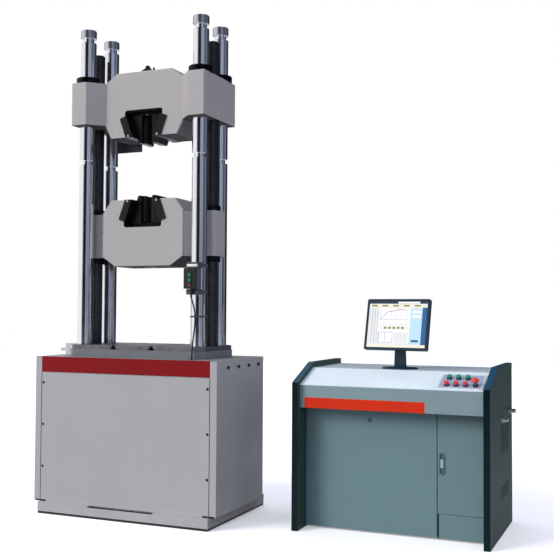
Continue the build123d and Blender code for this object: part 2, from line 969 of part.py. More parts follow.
def stroke_bracket():
    x = -table_width / 2
    y = stroke_plate_y
    t = stroke_plate_thickness
    left = x - stroke_plate_width
    plate = block(left, x, y, y + t, stroke_plate_low, stroke_plate_low + stroke_plate_height)
    middle = x - stroke_plate_width / 2
    s = stroke_slot_half
    slot_high = stroke_slot_low + stroke_slot_height
    plate -= block(middle - s, middle + s, y, y + t, stroke_slot_low, slot_high)
    plate += block(x - t, x, y, y + stroke_foot_depth, stroke_plate_low, table_plate_bottom)
    arm_high = stroke_slot_low + stroke_arm_height
    return plate + block(left - stroke_arm_length, left, y, y + t, stroke_slot_low, arm_high)


def pendant_back():
    return -column_y - column_radius - pendant_standoff


def pendant_bracket():
    at = Pos(column_x, -column_y, 0)
    seat = column_radius + sliding_gap
    bracket = None
    front = -column_y - column_radius - clamp_depth
    for low, high in ((clamp_top_low, clamp_top_high), (clamp_foot_low, clamp_foot_high)):
        x0, x1 = column_x - clamp_width / 2, column_x + clamp_width / 2
        jaw_block = block(x0, x1, front, -column_y - column_radius / 2, low, high)
        middle = (low + high) / 2
        half = strap_height / 2
        strap = at * Cylinder(seat + strap_thickness, strap_height)
        piece = jaw_block + Pos(0, 0, middle) * strap
        piece -= at * rod(0, 0, low, high, seat)
        bracket = piece if bracket is None else bracket + piece
    back = pendant_back()
    w = backplate_width / 2
    y1 = back + backplate_thickness
    bracket += block(column_x - w, column_x + w, back, y1, clamp_foot_low, clamp_top_high)
    bracket -= at * rod(0, 0, clamp_foot_low, clamp_top_high, seat)
    tie = tie_band(tie_thickness) - tie_band(0)
    tie = Pos(0, 0, tie_level - tie_height / 2) * tie
    return group(bracket, extrude(tie, amount=tie_height, dir=(0, 0, 1)))


def tie_band(thickness):
    """Outline round the column and the cable beside it, at the height of the tie."""
    above = [p for p in cable_route if p[2] > tie_level][-1]
    below = [p for p in cable_route if p[2] <= tie_level][0]
    share = (above[2] - tie_level) / (above[2] - below[2])
    x = above[0] + share * (below[0] - above[0])
    y = above[1] + share * (below[1] - above[1])
    around = Pos(column_x, -column_y, 0) * Circle(column_radius + sliding_gap + thickness)
    cable = Pos(x, y, 0) * Circle(cable_radius + 2 + thickness)
    return make_hull(around.edges() + cable.edges())


def pendant_button_level(i):
    return pendant_button_top - i * pendant_button_pitch


def pendant_box():
    back = pendant_back()
    front = back - pendant_depth
    half = pendant_width / 2
    top = pendant_bottom + pendant_height
    box = block(column_x - half, column_x + half, front, back, pendant_bottom, top)
    box = fillet(box.edges().filter_by(Axis.Z), pendant_edge)
    for i in range(3):
        z = pendant_button_level(i)
        hole = Cylinder(pendant_button_radius + sliding_gap, pendant_bore_depth)
        box -= Pos(column_x, front + pendant_bore_depth / 2, z) * Rot(90, 0, 0) * hole
    return box


def pendant_button(i):
    front = pendant_back() - pendant_depth
    length = pendant_button_height + pendant_bore_depth / 2
    y = front - pendant_button_height + length / 2
    return Pos(column_x, y, pendant_button_level(i)) * Rot(90, 0, 0) * Cylinder(pendant_button_radius, length)


def cable_bends():
    """Radius of each bend: 0.45 of the shorter run over the tangent of half the turn."""
    points = [Vector(*p) for p in cable_route]
    radii = []
    for before, here, after in zip(points, points[1:], points[2:]):
        first, second = here - before, after - here
        turn = radians(first.get_angle(second))
        radii.append(0.45 * min(first.length, second.length) / tan(turn / 2))
    return radii


def pendant_cable():
    path = FilletPolyline(*cable_route, radius=cable_bends())
    start = Plane(origin=path @ 0, z_dir=path % 0)
    return sweep(start * Circle(cable_radius), path=path), path.length


def cable_gland(x, y, seat, up):
    nut = Pos(x, y, 0) * rod(0, 0, seat, seat + up * gland_nut_height, gland_nut_radius)
    end = cable_route[0][2] if up < 0 else cable_route[-1][2]
    return nut + Pos(x, y, 0) * rod(0, 0, seat + up * gland_nut_height, end, gland_cone_radius)


def cable_glands():
    x, y, _ = cable_route[0]
    upper = cable_gland(x, y, pendant_bottom, -1)
    x, y, _ = cable_route[-1]
    low = cable_bracket_low
    high = low + cable_bracket_thickness
    face = -table_depth / 2
    w = cable_bracket_half
    bracket = block(x - w, x + w, face - cable_bracket_reach, face, low, high)
    return group(upper, bracket + cable_gland(x, y, high, 1))


# Control console


def side_profile():
    return [
        (console_front, 0),
        (console_front, console_corner_level),
        (console_slope_end, console_top),
        (console_back, console_top),
        (console_back, 0),
    ]


def vent_slots(x0, x1):
    slots = None
    for low, high in ((vent_low, vent_high), (low_vent_low, low_vent_high)):
        for i in range(vent_count):
            y = vent_first + i * vent_pitch
            slot = block(x0, x1, y - vent_width / 2, y + vent_width / 2, low, high)
            slots = slot if slots is None else slots + slot
    return slots


def console_sides():
    shapes = []
    wall = console_side_wall
    for x0 in (console_left, console_right - console_side):
        x1 = x0 + console_side
        side = prism_x(side_profile(), x0, x1)
        profile = make_face(Polyline(*[(0, y, z) for y, z in side_profile()], close=True))
        hollow = extrude(offset(profile, amount=-wall), amount=console_side - 2 * wall, dir=(1, 0, 0))
        side -= Pos(x0 + wall, 0, 0) * hollow
        shapes.append(side - vent_slots(x0, x1) - big_door_pin(hinge_pin_radius + running_gap))
    return group(*shapes)


def desk_profile(drop, front):
    level = desk_front_level + (front - desk_front) * slope_rise / slope_run
    flat = desk_level - drop
    return [(front, level - drop), (desk_slope_end, flat), (console_back - desk_sheet, flat)]


def desk_strip(drop, thickness, front, x0, x1):
    outline = desk_profile(drop, front) + list(reversed(desk_profile(drop + thickness, front)))
    return prism_x(outline, x0, x1)


def console_desk():
    return desk_strip(0, desk_sheet, desk_front, inside_left + sliding_gap, inside_right - sliding_gap)


def console_band():
    x0, x1 = inside_left + sliding_gap, inside_right - sliding_gap
    band = block(x0, x1, desk_front, desk_front + desk_sheet, band_bottom, desk_front_level - desk_sheet)
    band += block(x0, x1, desk_front, carcass_front, band_bottom, band_bottom + desk_sheet)
    return band - small_door_pin(hinge_pin_radius + running_gap)


def big_door_pin(radius):
    """Hinge pin along the foot of the big door, from the left side panel into the low panel."""
    x0 = inside_left - console_side_wall
    x1 = door_split + door_gap + door_sheet
    place = Pos((x0 + x1) / 2, door_front + hinge_pin_setback, door_bottom + hinge_pin_inset)
    return place * Rot(0, 90, 0) * Cylinder(radius, x1 - x0)


def small_door_pin(radius):
    """Upright hinge pin of the small door, from the low panel into the band above."""
    x = inside_right - door_gap - hinge_pin_inset
    y = door_front + hinge_pin_setback
    return rod(x, y, low_panel_top - door_sheet, band_bottom + desk_sheet, radius)


def console_carcass():
    left, right, front = inside_left, inside_right, carcass_front
    s = carcass_sheet
    back = console_back - s
    carcass = block(left, right, front, back, carcass_floor - s, carcass_floor)
    carcass += block(left, right, back - s, back, 0, desk_level - desk_sheet)
    carcass += block(left, right, front, front + s, door_bottom, carcass_floor)
    rail_low, rail_high = band_bottom - post_size / 2, band_bottom + post_size
    carcass += block(left, right, front, front + s, rail_low, rail_high)
    divider = door_split - post_size / 2
    for x in (left, divider, right - post_size):
        carcass += block(x, x + post_size, front, front + post_size, door_bottom, rail_high)
    carcass += block(divider, right, front, back, shelf_level - s, shelf_level)
    carcass += block(divider, divider + s, front, back, carcass_floor, rail_low)
    for x in (left, right - s):
        carcass += desk_strip(desk_sheet, post_size, front, x, x + s)
        carcass += block(x, x + s, front, front + post_size, rail_high - s, desk_level - 2 * post_size)
    low_panel = pan(door_split + door_gap, right - door_gap, door_bottom, low_panel_top)
    x0, x1 = door_split + post_size, right - post_size
    y0, z0 = door_front + door_thickness, door_bottom + door_sheet
    low_panel += block(x0, x1, y0, front, z0, door_bottom + post_size)
    low_panel -= big_door_pin(hinge_pin_radius + running_gap)
    return carcass + (low_panel - small_door_pin(hinge_pin_radius + running_gap))


def pan(x0, x1, z0, z1):
    """Folded sheet panel, open to the back, with its front in the plane of the doors."""
    y1 = door_front + door_thickness
    panel = block(x0, x1, door_front, y1, z0, z1)
    s = door_sheet
    return panel - block(x0 + s, x1 - s, door_front + s, y1, z0 + s, z1 - s)


def big_door():
    door = pan(inside_left + door_gap, door_split - door_gap, door_bottom, band_bottom - door_gap)
    hole = Cylinder(lock_radius + running_gap, 4 * door_sheet)
    door -= Pos(lock_x, door_front, lock_level) * Rot(90, 0, 0) * hole
    return door + big_door_pin(hinge_pin_radius)


def door_lock():
    back = door_front + door_thickness
    front = door_front - lock_proud
    barrel = Rot(90, 0, 0) * Cylinder(lock_radius, back - front)
    barrel = Pos(lock_x, (front + back) / 2, lock_level) * barrel
    barrel -= block(lock_x - 1, lock_x + 1, front, front + 2, lock_level - 5, lock_level + 5)
    w = lock_cam_width / 2
    tip = lock_level + lock_cam_length
    return barrel + block(lock_x - w, lock_x + w, back - lock_cam_thickness, back, lock_level - w, tip)


def small_door():
    top = band_bottom - door_gap
    door = pan(door_split + door_gap, inside_right - door_gap, low_panel_top + door_gap, top)
    door += small_door_pin(hinge_pin_radius)
    middle = (handle_low + handle_high) / 2
    length = handle_high - handle_low
    place = Pos(handle_x, door_front, middle) * Rot(90, 0, 0) * Rot(0, 0, 90)
    rim = place * SlotOverall(length, 2 * handle_half_width)
    handle = extrude(rim, amount=handle_proud, dir=(0, -1, 0))
    inner = length - 2 * (handle_half_width - handle_recess_half)
    dish = place * SlotOverall(inner, 2 * handle_recess_half)
    recess = extrude(dish, amount=handle_proud, dir=(0, -1, 0))
    return group(door, handle - Pos(0, -handle_proud / 2, 0) * recess)


slope_normal = (0, -slope_rise, slope_run)
desk_slope = Plane(origin=(0, desk_front, desk_front_level), x_dir=(1, 0, 0), z_dir=slope_normal)


def on_slope(x, row, height, shape):
    return desk_slope * Pos(x, row, height) * shape


def button_places():
    places = []
    for i, circuit in enumerate(("pump", "load", "clamp")):
        x = button_first_x + i * button_pitch
        places += [(f"{circuit}_start_button", x, green_row), (f"{circuit}_stop_button", x, red_row)]
    return places


def button_plate():
    size = Box(plate_width, plate_length, plate_thickness, align=(Align.MIN, Align.MIN, Align.MIN))
    plate = on_slope(plate_left, plate_start, 0, size)
    for _, x, row in button_places():
        plate += on_slope(x, row, plate_thickness, disc(bezel_radius, bezel_height))
        seat = disc(button_radius + sliding_gap, plate_thickness + bezel_height)
        plate -= on_slope(x, row, button_seat, seat)
    plate += on_slope(stop_x, red_row, plate_thickness, disc(bezel_radius, bezel_height))
    seat = disc(stop_stem_radius + sliding_gap, plate_thickness + bezel_height)
    return plate - on_slope(stop_x, red_row, button_seat, seat)


def button(x, row):
    bottom = plate_thickness + button_lift
    cap = disc(button_radius, button_height)
    cap = chamfer(cap.edges().group_by(Axis.Z)[-1], 2)
    return on_slope(x, row, bottom, cap)


def emergency_stop():
    """Mushroom head on its stem, turned in one piece."""
    r, low, high = stop_head_radius, stop_stem_height, stop_stem_height + stop_head_height
    mushroom = turned([
        (0, 0),
        (stop_stem_radius, 0),
        (stop_stem_radius, low),
        (r, low + stop_head_height / 5),
        (r, low + stop_head_height / 2),
        (r * 0.75, high - stop_head_height / 7),
        (r * 0.3, high),
        (0, high),
    ])
    return on_slope(stop_x, red_row, plate_thickness + button_lift, mushroom)


# Monitor


def swung(shape):
    """Turn of the whole screen on its foot, toward the frame."""
    middle = (monitor_x, monitor_y, 0)
    return Pos(*middle) * Rot(0, 0, -monitor_turn) * Pos(-monitor_x, -monitor_y, 0) * shape


def tilted(shape):
    pivot = (monitor_x, monitor_y, pivot_level)
    return Pos(*pivot) * Rot(-monitor_tilt, 0, 0) * Pos(-pivot[0], -pivot[1], -pivot[2]) * shape


def monitor():
    half = monitor_width / 2
    front = monitor_y - pivot_setback
    top = monitor_low + monitor_height
    case = block(monitor_x - half, monitor_x + half, front, front + monitor_depth, monitor_low, top)
    case = fillet(case.edges().filter_by(Axis.Y), 8)
    b = monitor_bezel
    x0, x1 = monitor_x - half + b, monitor_x + half - b
    case -= block(x0, x1, front, front + 3, monitor_low + b, top - b)
    screen = block(x0, x1, front + 1, front + 3, monitor_low + b, top - b)
    middle = (monitor_low + top) / 2
    w, h = bulge_width / 2, bulge_height / 2
    back = front + monitor_depth
    bulge = block(monitor_x - w, monitor_x + w, back, back + bulge_depth / 2, middle - h, middle + h)
    case += chamfer(bulge.faces().sort_by(Axis.Y)[-1].edges(), bulge_depth / 3)
    ear = neck_width / 2
    for sx in (-1, 1):
        x0, x1 = monitor_x + sx * (ear + sliding_gap), monitor_x + sx * (ear + pivot_ear)
        case += block(x0, x1, back, monitor_y, pivot_level - pivot_radius, pivot_level + pivot_radius)
        ring = Cylinder(pivot_radius, abs(x1 - x0))
        case += Pos((x0 + x1) / 2, monitor_y, pivot_level) * Rot(0, 90, 0) * ring
    pin = Cylinder(pivot_radius / 2 + running_gap, neck_width + 2 * pivot_ear + 1)
    case -= Pos(monitor_x, monitor_y, pivot_level) * Rot(0, 90, 0) * pin
    return swung(tilted(group(case, screen)))


def monitor_stand():
    foot = Pos(monitor_x, monitor_y, desk_level) * Ellipse(stand_width / 2, stand_depth / 2)
    base = extrude(foot, amount=stand_thickness, dir=(0, 0, 1))
    base = chamfer(base.edges().group_by(Axis.Z)[-1], stand_thickness / 2)
    low, high = desk_level + stand_thickness, pivot_level
    neck = prism_y(
        [
            (monitor_x - neck_foot_width / 2, low - 1),
            (monitor_x + neck_foot_width / 2, low - 1),
            (monitor_x + neck_width / 2, high - pivot_radius),
            (monitor_x + neck_width / 2, high),
            (monitor_x - neck_width / 2, high),
            (monitor_x - neck_width / 2, high - pivot_radius),
        ],
        monitor_y - neck_depth / 4,
        monitor_y + neck_depth * 3 / 4,
    )
    pivot = Pos(monitor_x, monitor_y, pivot_level) * Rot(0, 90, 0)
    barrel = pivot * Cylinder(pivot_radius, neck_width)
    pin = pivot * Cylinder(pivot_radius / 2, neck_width + 2 * pivot_ear)
    return swung(base + neck + barrel + pin)


# Inside the console


def power_pack():
    x0, x1 = tank_left, tank_left + tank_width
    y0, y1 = tank_front, tank_front + tank_depth
    floor = carcass_floor
    tank = block(x0, x1, y0, y1, floor, floor + tank_height)
    top = floor + tank_height + tank_lid
    e = tank_lid_edge
    tank += block(x0 - e, x1 + e, y0 - e, y1 + e, floor + tank_height, top)
    axis_y = (y0 + y1) / 2
    pump = Rot(0, 90, 0) * Cylinder(pump_radius, pump_length)
    pump = Pos(x0 + pump_inset + pump_length / 2, axis_y, top + pump_radius + pump_lift) * pump
    f = pump_foot_half
    feet = block(x0 + 2 * pump_inset, x0 + pump_length, axis_y - f, axis_y + f, top, top + pump_radius)
    v = valve_block / 2
    valve = block(x1 - 3 * v, x1 - v, axis_y - v, axis_y + v, top, top + valve_block)
    couplings = []
    for y, z in coupling_places:
        hexagon = extrude(RegularPolygon(coupling_hex_radius, 6), amount=coupling_hex_length)
        coupling = hexagon + disc(coupling_nipple_radius, coupling_length)
        couplings.append(Pos(console_right, y, z) * Rot(0, 90, 0) * coupling)
    return group(tank + pump + feet + valve, *couplings)


def computer():
    x0, y0 = computer_left, computer_front
    case = block(x0, x0 + computer_width, y0, y0 + computer_depth, shelf_level, shelf_level + computer_height)
    return fillet(case.edges().filter_by(Axis.Z), 6)


def write(name, shape):
    shape.label = name
    export_step(shape, f"parts/{name}.step")


os.makedirs("parts", exist_ok=True)
makers = [
    plinth, cabinet_frame, front_panel, header_strip, side_panels, rear_panel, deck_cover, panel_screws,
    bed_plate, main_cylinder, screw_bearings, drive_motor, motor_sprocket, drive_chain,
    ram, worktable, columns, column_nuts, upper_crosshead, stroke_bracket,
    pendant_bracket, pendant_box, cable_glands, lower_crosshead, screw_nuts,
    console_sides, console_carcass, console_desk, console_band, big_door, small_door, door_lock,
    button_plate, emergency_stop, monitor_stand, monitor, power_pack, computer,
]
for maker in makers:
    write(maker.__name__, maker())
write("lead_screw_left", lead_screw(-1))
write("lead_screw_right", lead_screw(1))
grips = (("upper", upper_mouth, 1, upper_height), ("lower", lower_mouth, -1, lower_height))
for name, mouth, up, height in grips:
    write(f"{name}_guide_plates", guide_plates(mouth, up))
    write(f"{name}_jaw_left", jaw(mouth, up, -1))
    write(f"{name}_jaw_right", jaw(mouth, up, 1))
    write(f"{name}_jaw_yoke", jaw_yoke(mouth, up))
    write(f"{name}_grip_cylinder", grip_cylinder(mouth, up, height, up > 0))
for i, name in enumerate(("pendant_up_button", "pendant_down_button", "pendant_stop_button")):
    write(name, pendant_button(i))
for name, x, row in button_places():
    write(name, button(x, row))
cable, cable_length = pendant_cable()
write("pendant_cable", cable)
print("cable bends", [round(r) for r in cable_bends()])
print("cable length", round(cable_length, 1), "tube", round(cable.volume / (pi * cable_radius ** 2), 1))
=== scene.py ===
from math import cos, pi, radians, sin, sqrt

import bmesh
import bpy
from mathutils import Matrix, Vector


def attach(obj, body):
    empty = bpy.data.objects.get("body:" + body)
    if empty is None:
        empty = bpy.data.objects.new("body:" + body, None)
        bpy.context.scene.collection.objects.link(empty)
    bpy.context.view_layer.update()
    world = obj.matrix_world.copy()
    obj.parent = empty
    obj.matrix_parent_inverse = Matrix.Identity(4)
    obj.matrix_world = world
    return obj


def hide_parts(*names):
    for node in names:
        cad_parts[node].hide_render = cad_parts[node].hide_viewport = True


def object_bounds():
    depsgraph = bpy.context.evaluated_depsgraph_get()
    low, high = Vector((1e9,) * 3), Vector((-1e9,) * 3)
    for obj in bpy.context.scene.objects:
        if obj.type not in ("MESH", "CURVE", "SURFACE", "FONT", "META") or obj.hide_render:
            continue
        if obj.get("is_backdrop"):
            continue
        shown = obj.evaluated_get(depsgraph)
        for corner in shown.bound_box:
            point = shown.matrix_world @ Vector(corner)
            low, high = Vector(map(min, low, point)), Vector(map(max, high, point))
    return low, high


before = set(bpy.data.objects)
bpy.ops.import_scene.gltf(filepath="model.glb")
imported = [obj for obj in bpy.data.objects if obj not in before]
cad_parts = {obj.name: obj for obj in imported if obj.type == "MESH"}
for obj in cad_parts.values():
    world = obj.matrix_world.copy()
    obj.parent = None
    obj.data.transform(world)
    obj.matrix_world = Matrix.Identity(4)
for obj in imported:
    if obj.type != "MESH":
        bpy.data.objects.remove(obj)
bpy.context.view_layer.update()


# Camera. A normal lens stands in front of the gap between frame and console,
# a little under half the frame's height, almost level and turned to the left.

eye = Vector((2.5798, -4.3190, 1.0924))
yaw, pitch, roll = 0.4005, 0.0377, 0.0054
ahead = Vector((-sin(yaw) * cos(pitch), cos(yaw) * cos(pitch), sin(pitch)))
level = Vector((cos(yaw), sin(yaw), 0))
upright = level.cross(ahead)
right = level * cos(roll) + upright * sin(roll)
upward = upright * cos(roll) - level * sin(roll)
lens = bpy.data.cameras.new("camera")
lens.sensor_width = 36.0
lens.lens = 58.63
lens.clip_end = 60.0
camera = bpy.data.objects.new("camera", lens)
bpy.context.scene.collection.objects.link(camera)
camera.matrix_world = Matrix((
    (right.x, upward.x, -ahead.x, eye.x),
    (right.y, upward.y, -ahead.y, eye.y),
    (right.z, upward.z, -ahead.z, eye.z),
    (0, 0, 0, 1),
))
bpy.context.scene.camera = camera
bpy.context.scene.view_settings.view_transform = "Standard"


# Pendant cable. A round eight-millimetre control cable in black PVC hangs from the
# gland under the push-button box, along the front column, to a gland on the table.


def linear(colour):
    """sRGB hex to the linear colour that a shader takes."""
    parts = [int(colour[i:i + 2], 16) / 255 for i in (0, 2, 4)]
    parts = [c / 12.92 if c <= 0.04045 else ((c + 0.055) / 1.055) ** 2.4 for c in parts]
    return (*parts, 1.0)


def node(tree, kind, inputs=None, **settings):
    """Adds a shader node; inputs are values, or sockets to link from."""
    made = tree.nodes.new("ShaderNode" + kind)
    for name, value in settings.items():
        setattr(made, name, value)
    for name, value in (inputs or {}).items():
        if isinstance(value, bpy.types.NodeSocket):
            tree.links.new(value, made.inputs[name])
        else:
            made.inputs[name].default_value = value
    return made


def shader_of(name, roughness, metallic=0.0, ior=1.5):
    """A new material with its tree, its shader and the object's own coordinates in metres."""
    made = bpy.data.materials.new(name)
    made.use_nodes = True
    tree = made.node_tree
    shader = tree.nodes["Principled BSDF"]
    shader.inputs["Roughness"].default_value = roughness
    shader.inputs["Metallic"].default_value = metallic
    shader.inputs["IOR"].default_value = ior
    return made, tree, shader, node(tree, "TexCoord").outputs["Object"]


def choose(tree, share, low, high):
    """One colour or the other, by a share of 0 to 1."""
    return node(tree, "Mix", {0: share, 6: low, 7: high}, data_type="RGBA").outputs[2]


def coat(tree, shader, colour):
    """Gives the surface its colour."""
    tree.links.new(colour, shader.inputs["Base Color"])


def relief(tree, shader, height, depth, strength):
    """Raises the surface by a height of 0 to 1 times a depth in metres."""
    bump = node(tree, "Bump", {"Height": height, "Strength": strength, "Distance": depth})
    tree.links.new(bump.outputs["Normal"], shader.inputs["Normal"])


def grain(tree, shader, place, size, depth, strength, detail=2.0):
    """Roughens the surface with an even random grain of that size."""
    bumps = node(tree, "TexNoise", {"Vector": place, "Scale": 1 / size, "Detail": detail})
    relief(tree, shader, bumps.outputs["Fac"], depth, strength)


# PVC jacket: matt black with the fine dull grain of an extruded hose, 0.6 mm, and greyer
# where hands have been.
cable_jacket, tree, shader, place = shader_of("pvc_jacket", 0.55)
handling = node(tree, "TexNoise", {"Vector": place, "Scale": 1 / 0.03, "Detail": 2.0})
coat(tree, shader, choose(tree, handling.outputs["Fac"], linear("101113"), linear("1E1F22")))
grain(tree, shader, place, 0.0006, 0.0002, 0.3)

cable_diameter = 0.008
cable_route = (
    (0.358, -0.205, 1.186),
    (0.358, -0.205, 1.157),
    (0.364, -0.192, 1.122),
    (0.363, -0.174, 1.088),
    (0.361, -0.165, 1.046),
    (0.361, -0.171, 1.000),
    (0.364, -0.190, 0.950),
    (0.370, -0.212, 0.902),
    (0.373, -0.221, 0.864),
    (0.373, -0.221, 0.826),
)
line = bpy.data.curves.new("pendant_lead", "CURVE")
line.dimensions = "3D"
line.bevel_depth = cable_diameter / 2
line.bevel_resolution = 6
line.resolution_u = 12
line.use_fill_caps = True
run = line.splines.new("NURBS")
run.points.add(len(cable_route) - 1)
for point, where in zip(run.points, cable_route):
    point.co = (*where, 1.0)
run.order_u = 3
run.use_endpoint_u = True
line.materials.append(cable_jacket)
pendant_lead = bpy.data.objects.new("pendant_lead", line)
bpy.context.scene.collection.objects.link(pendant_lead)
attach(pendant_lead, "moving_frame")
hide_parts("pendant_cable")


def piece(name, shape, finish, body):
    """A mesh object from a bmesh, shaded smooth up to 35 degrees, riding on a body."""
    data = bpy.data.meshes.new(name)
    bmesh.ops.recalc_face_normals(shape, faces=shape.faces)
    shape.to_mesh(data)
    shape.free()
    data.shade_smooth()
    data.set_sharp_from_angle(angle=radians(35))
    data.materials.append(finish)
    made = bpy.data.objects.new(name, data)
    bpy.context.scene.collection.objects.link(made)
    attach(made, body)
    return made


def join(shape, low, high):
    """Closes the band between two rings of corners."""
    for corners in zip(low, low[1:] + low[:1], high[1:] + high[:1], high):
        shape.faces.new(corners)


def turn(shape, profile, where, sides=32, hollow=False):
    """Adds a turned form to a bmesh: (radius, height) pairs round +Z, put at a matrix."""
    angles = [2 * pi * i / sides for i in range(sides)]
    rings = []
    for radius, height in profile:
        around_axis = [Vector((radius * cos(t), radius * sin(t), height)) for t in angles]
        rings.append([shape.verts.new(where @ corner) for corner in around_axis])
    for low, high in zip(rings, rings[1:]):
        join(shape, low, high)
    if hollow:
        join(shape, rings[-1], rings[0])
    else:
        if profile[0][0]:
            shape.faces.new(list(reversed(rings[0])))
        if profile[-1][0]:
            shape.faces.new(rings[-1])
    bmesh.ops.remove_doubles(shape, verts=shape.verts, dist=1e-6)


def placed(where, angle, axis):
    """Stands a turned form at a point, tipped by an angle about an axis."""
    return Matrix.Translation(where) @ Matrix.Rotation(angle, 4, axis)


# Strain reliefs: sleeves with six ribs, moulded on the cable at both glands.
rib_pitch, rib_taper, rib_depth = 0.0046, 0.0003, 0.0007
sleeve = [(0.0068, 0.0)]
for rib in range(6):
    start = 0.001 + rib * rib_pitch
    crest = 0.0066 - rib * rib_taper
    root = crest - rib_depth
    sleeve += [(crest, start), (crest, start + 0.003)]
    sleeve += [(root, start + 0.0033), (root, start + 0.0045)]
sleeve += [(0.0042, 0.0295), (0.0, 0.0295)]
reliefs = bmesh.new()
turn(reliefs, sleeve, placed(cable_route[0], pi, "X"), 24)
turn(reliefs, sleeve, Matrix.Translation(cable_route[-1]), 24)
piece("cable_reliefs", reliefs, cable_jacket, "moving_frame")


# Studio. A pale floor and a white surround; one broad soft lamp stands high at the front
# left, and the room gives a plain, slightly cool light from all sides.

world = bpy.data.worlds.new("studio")
bpy.context.scene.world = world
world.use_nodes = True
tree = world.node_tree
room = tree.nodes["Background"]
room.inputs["Strength"].default_value = 1.0
seen = node(tree, "LightPath")
toward = node(tree, "SeparateXYZ", {"Vector": node(tree, "TexCoord").outputs["Generated"]})
around = node(tree, "Math", {
    0: toward.outputs["Y"], 1: toward.outputs["X"],
}, operation="ARCTAN2").outputs[0]


def step(tree, socket, edge, width=0.0002):
    """0 below a limit and 1 above it, or the reverse where the width is negative."""
    ends = {"From Min": edge - width, "From Max": edge + width}
    return node(tree, "MapRange", {"Value": socket, **ends}).outputs[0]


def sector(tree, around, first, last):
    """1 between two compass angles in degrees, with edges that fade over 9 degrees each way."""
    middle, half = radians((first + last) / 2), radians((last - first) / 2)
    off = node(tree, "Math", {0: around, 1: middle}, operation="SUBTRACT")
    turned = node(tree, "Math", {0: off.outputs[0], 1: pi, 2: -pi}, operation="WRAP")
    away = node(tree, "Math", {0: turned.outputs[0]}, operation="ABSOLUTE")
    return step(tree, away.outputs[0], half, -radians(9))


# What bright metal mirrors: white screens to the left and behind, a dark room in front,
# a pale blue window beside it, a grey-blue wall at the right and a dim corner at the back.
# Each room is given by its compass angles, and is dimmer toward its floor.
walls = linear("FCFCFD")
rooms = ((-109, -54, "1E1F24"), (-54, -22, "8D99B6"), (-22, 26, "505A74"), (26, 118, "303238"))
climb = node(tree, "MapRange", {
    "Value": toward.outputs["Z"], "From Min": 0.0, "From Max": 0.16, "To Min": 0.45,
}).outputs[0]
for first, last, colour in rooms:
    wall = node(tree, "VectorMath", {0: linear(colour)[:3], "Scale": climb}, operation="SCALE")
    walls = choose(tree, sector(tree, around, first, last), walls, wall.outputs[0])
plain = choose(tree, seen.outputs["Is Glossy Ray"], linear("E2E6FA"), walls)
shown = node(tree, "Math", {
    0: seen.outputs["Is Camera Ray"], 1: seen.outputs["Is Transmission Ray"],
}, operation="MAXIMUM").outputs[0]
tree.links.new(choose(tree, shown, plain, (1, 1, 1, 1)), room.inputs["Color"])

lamp_data = bpy.data.lights.new("soft_lamp", "SUN")
lamp_data.energy = 2.2
lamp_data.color = (1.0, 0.96, 0.90)
lamp_data.angle = radians(28)
lamp = bpy.data.objects.new("soft_lamp", lamp_data)
bpy.context.scene.collection.objects.link(lamp)
lamp.rotation_euler = Vector((0.62, 0.70, -0.50)).to_track_quat("-Z", "Y").to_euler()
lamp.visible_glossy = False

# Floor: white studio paper, lifted to white for the camera, with the shadow kept; it
# throws little light back up, so that undersides stay dark.
paper, tree, shader, place = shader_of("studio_paper", 0.9)
fibre = node(tree, "TexNoise", {"Vector": place, "Scale": 1 / 0.004, "Detail": 3.0})
tone = choose(tree, fibre.outputs["Fac"], linear("F0F0F0"), linear("F6F6F6"))
seen = node(tree, "LightPath")
looked_at = seen.outputs["Is Camera Ray"]
for kind in ("Is Glossy Ray", "Is Transmission Ray"):
    either = node(tree, "Math", {0: looked_at, 1: seen.outputs[kind]}, operation="MAXIMUM")
    looked_at = either.outputs[0]

# Metal mirrors the paper close by and, from 2.6 to 4.2 metres out, more and more of the
# dimmer floor of each room.
middle_of_floor = (0.66, 0.12, 0.0)
outward = node(tree, "VectorMath", {0: place, 1: middle_of_floor}, operation="SUBTRACT").outputs[0]
compass = node(tree, "SeparateXYZ", {"Vector": outward})
around = node(tree, "Math", {
    0: compass.outputs["Y"], 1: compass.outputs["X"],
}, operation="ARCTAN2").outputs[0]
reach = node(tree, "VectorMath", {0: outward}, operation="LENGTH").outputs["Value"]
beyond = node(tree, "MapRange", {"Value": reach, "From Min": 2.6, "From Max": 4.2, "To Max": 0.7})
beyond = node(tree, "Math", {
    0: beyond.outputs[0], 1: seen.outputs["Is Glossy Ray"],
}, operation="MULTIPLY").outputs[0]
boards = tone
for first, last, colour in rooms:
    boards = choose(tree, sector(tree, around, first, last), boards, linear(colour))
sweep = choose(tree, beyond, tone, boards)
coat(tree, shader, choose(tree, looked_at, linear("505052"), sweep))
lift = node(tree, "Math", {0: looked_at, 1: 0.34}, operation="MULTIPLY")
glow = node(tree, "Emission", {"Color": sweep, "Strength": lift.outputs[0]})
added = node(tree, "AddShader", {0: shader.outputs[0], 1: glow.outputs[0]})
tree.links.new(added.outputs[0], tree.nodes["Material Output"].inputs["Surface"])
floor_reach, floor_drop = 14.0, 0.0005
ground = bmesh.new()
bmesh.ops.create_grid(ground, x_segments=12, y_segments=12, size=floor_reach)
for vertex in ground.verts:
    vertex.co.z -= floor_drop
ground_data = bpy.data.meshes.new("studio_floor")
ground.to_mesh(ground_data)
ground.free()
ground_data.materials.append(paper)
floor = bpy.data.objects.new("studio_floor", ground_data)
bpy.context.scene.collection.objects.link(floor)
floor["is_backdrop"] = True


# Plinth. A ring of rolled channel, welded and painted grey, on a black rubber mat
# that keeps the machine from walking.


def dress(finish, *names):
    """Puts a finish on CAD nodes, which keep their own shape."""
    for name in names:
        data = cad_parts[name]
        for slot in data.material_slots:
            slot.material = finish


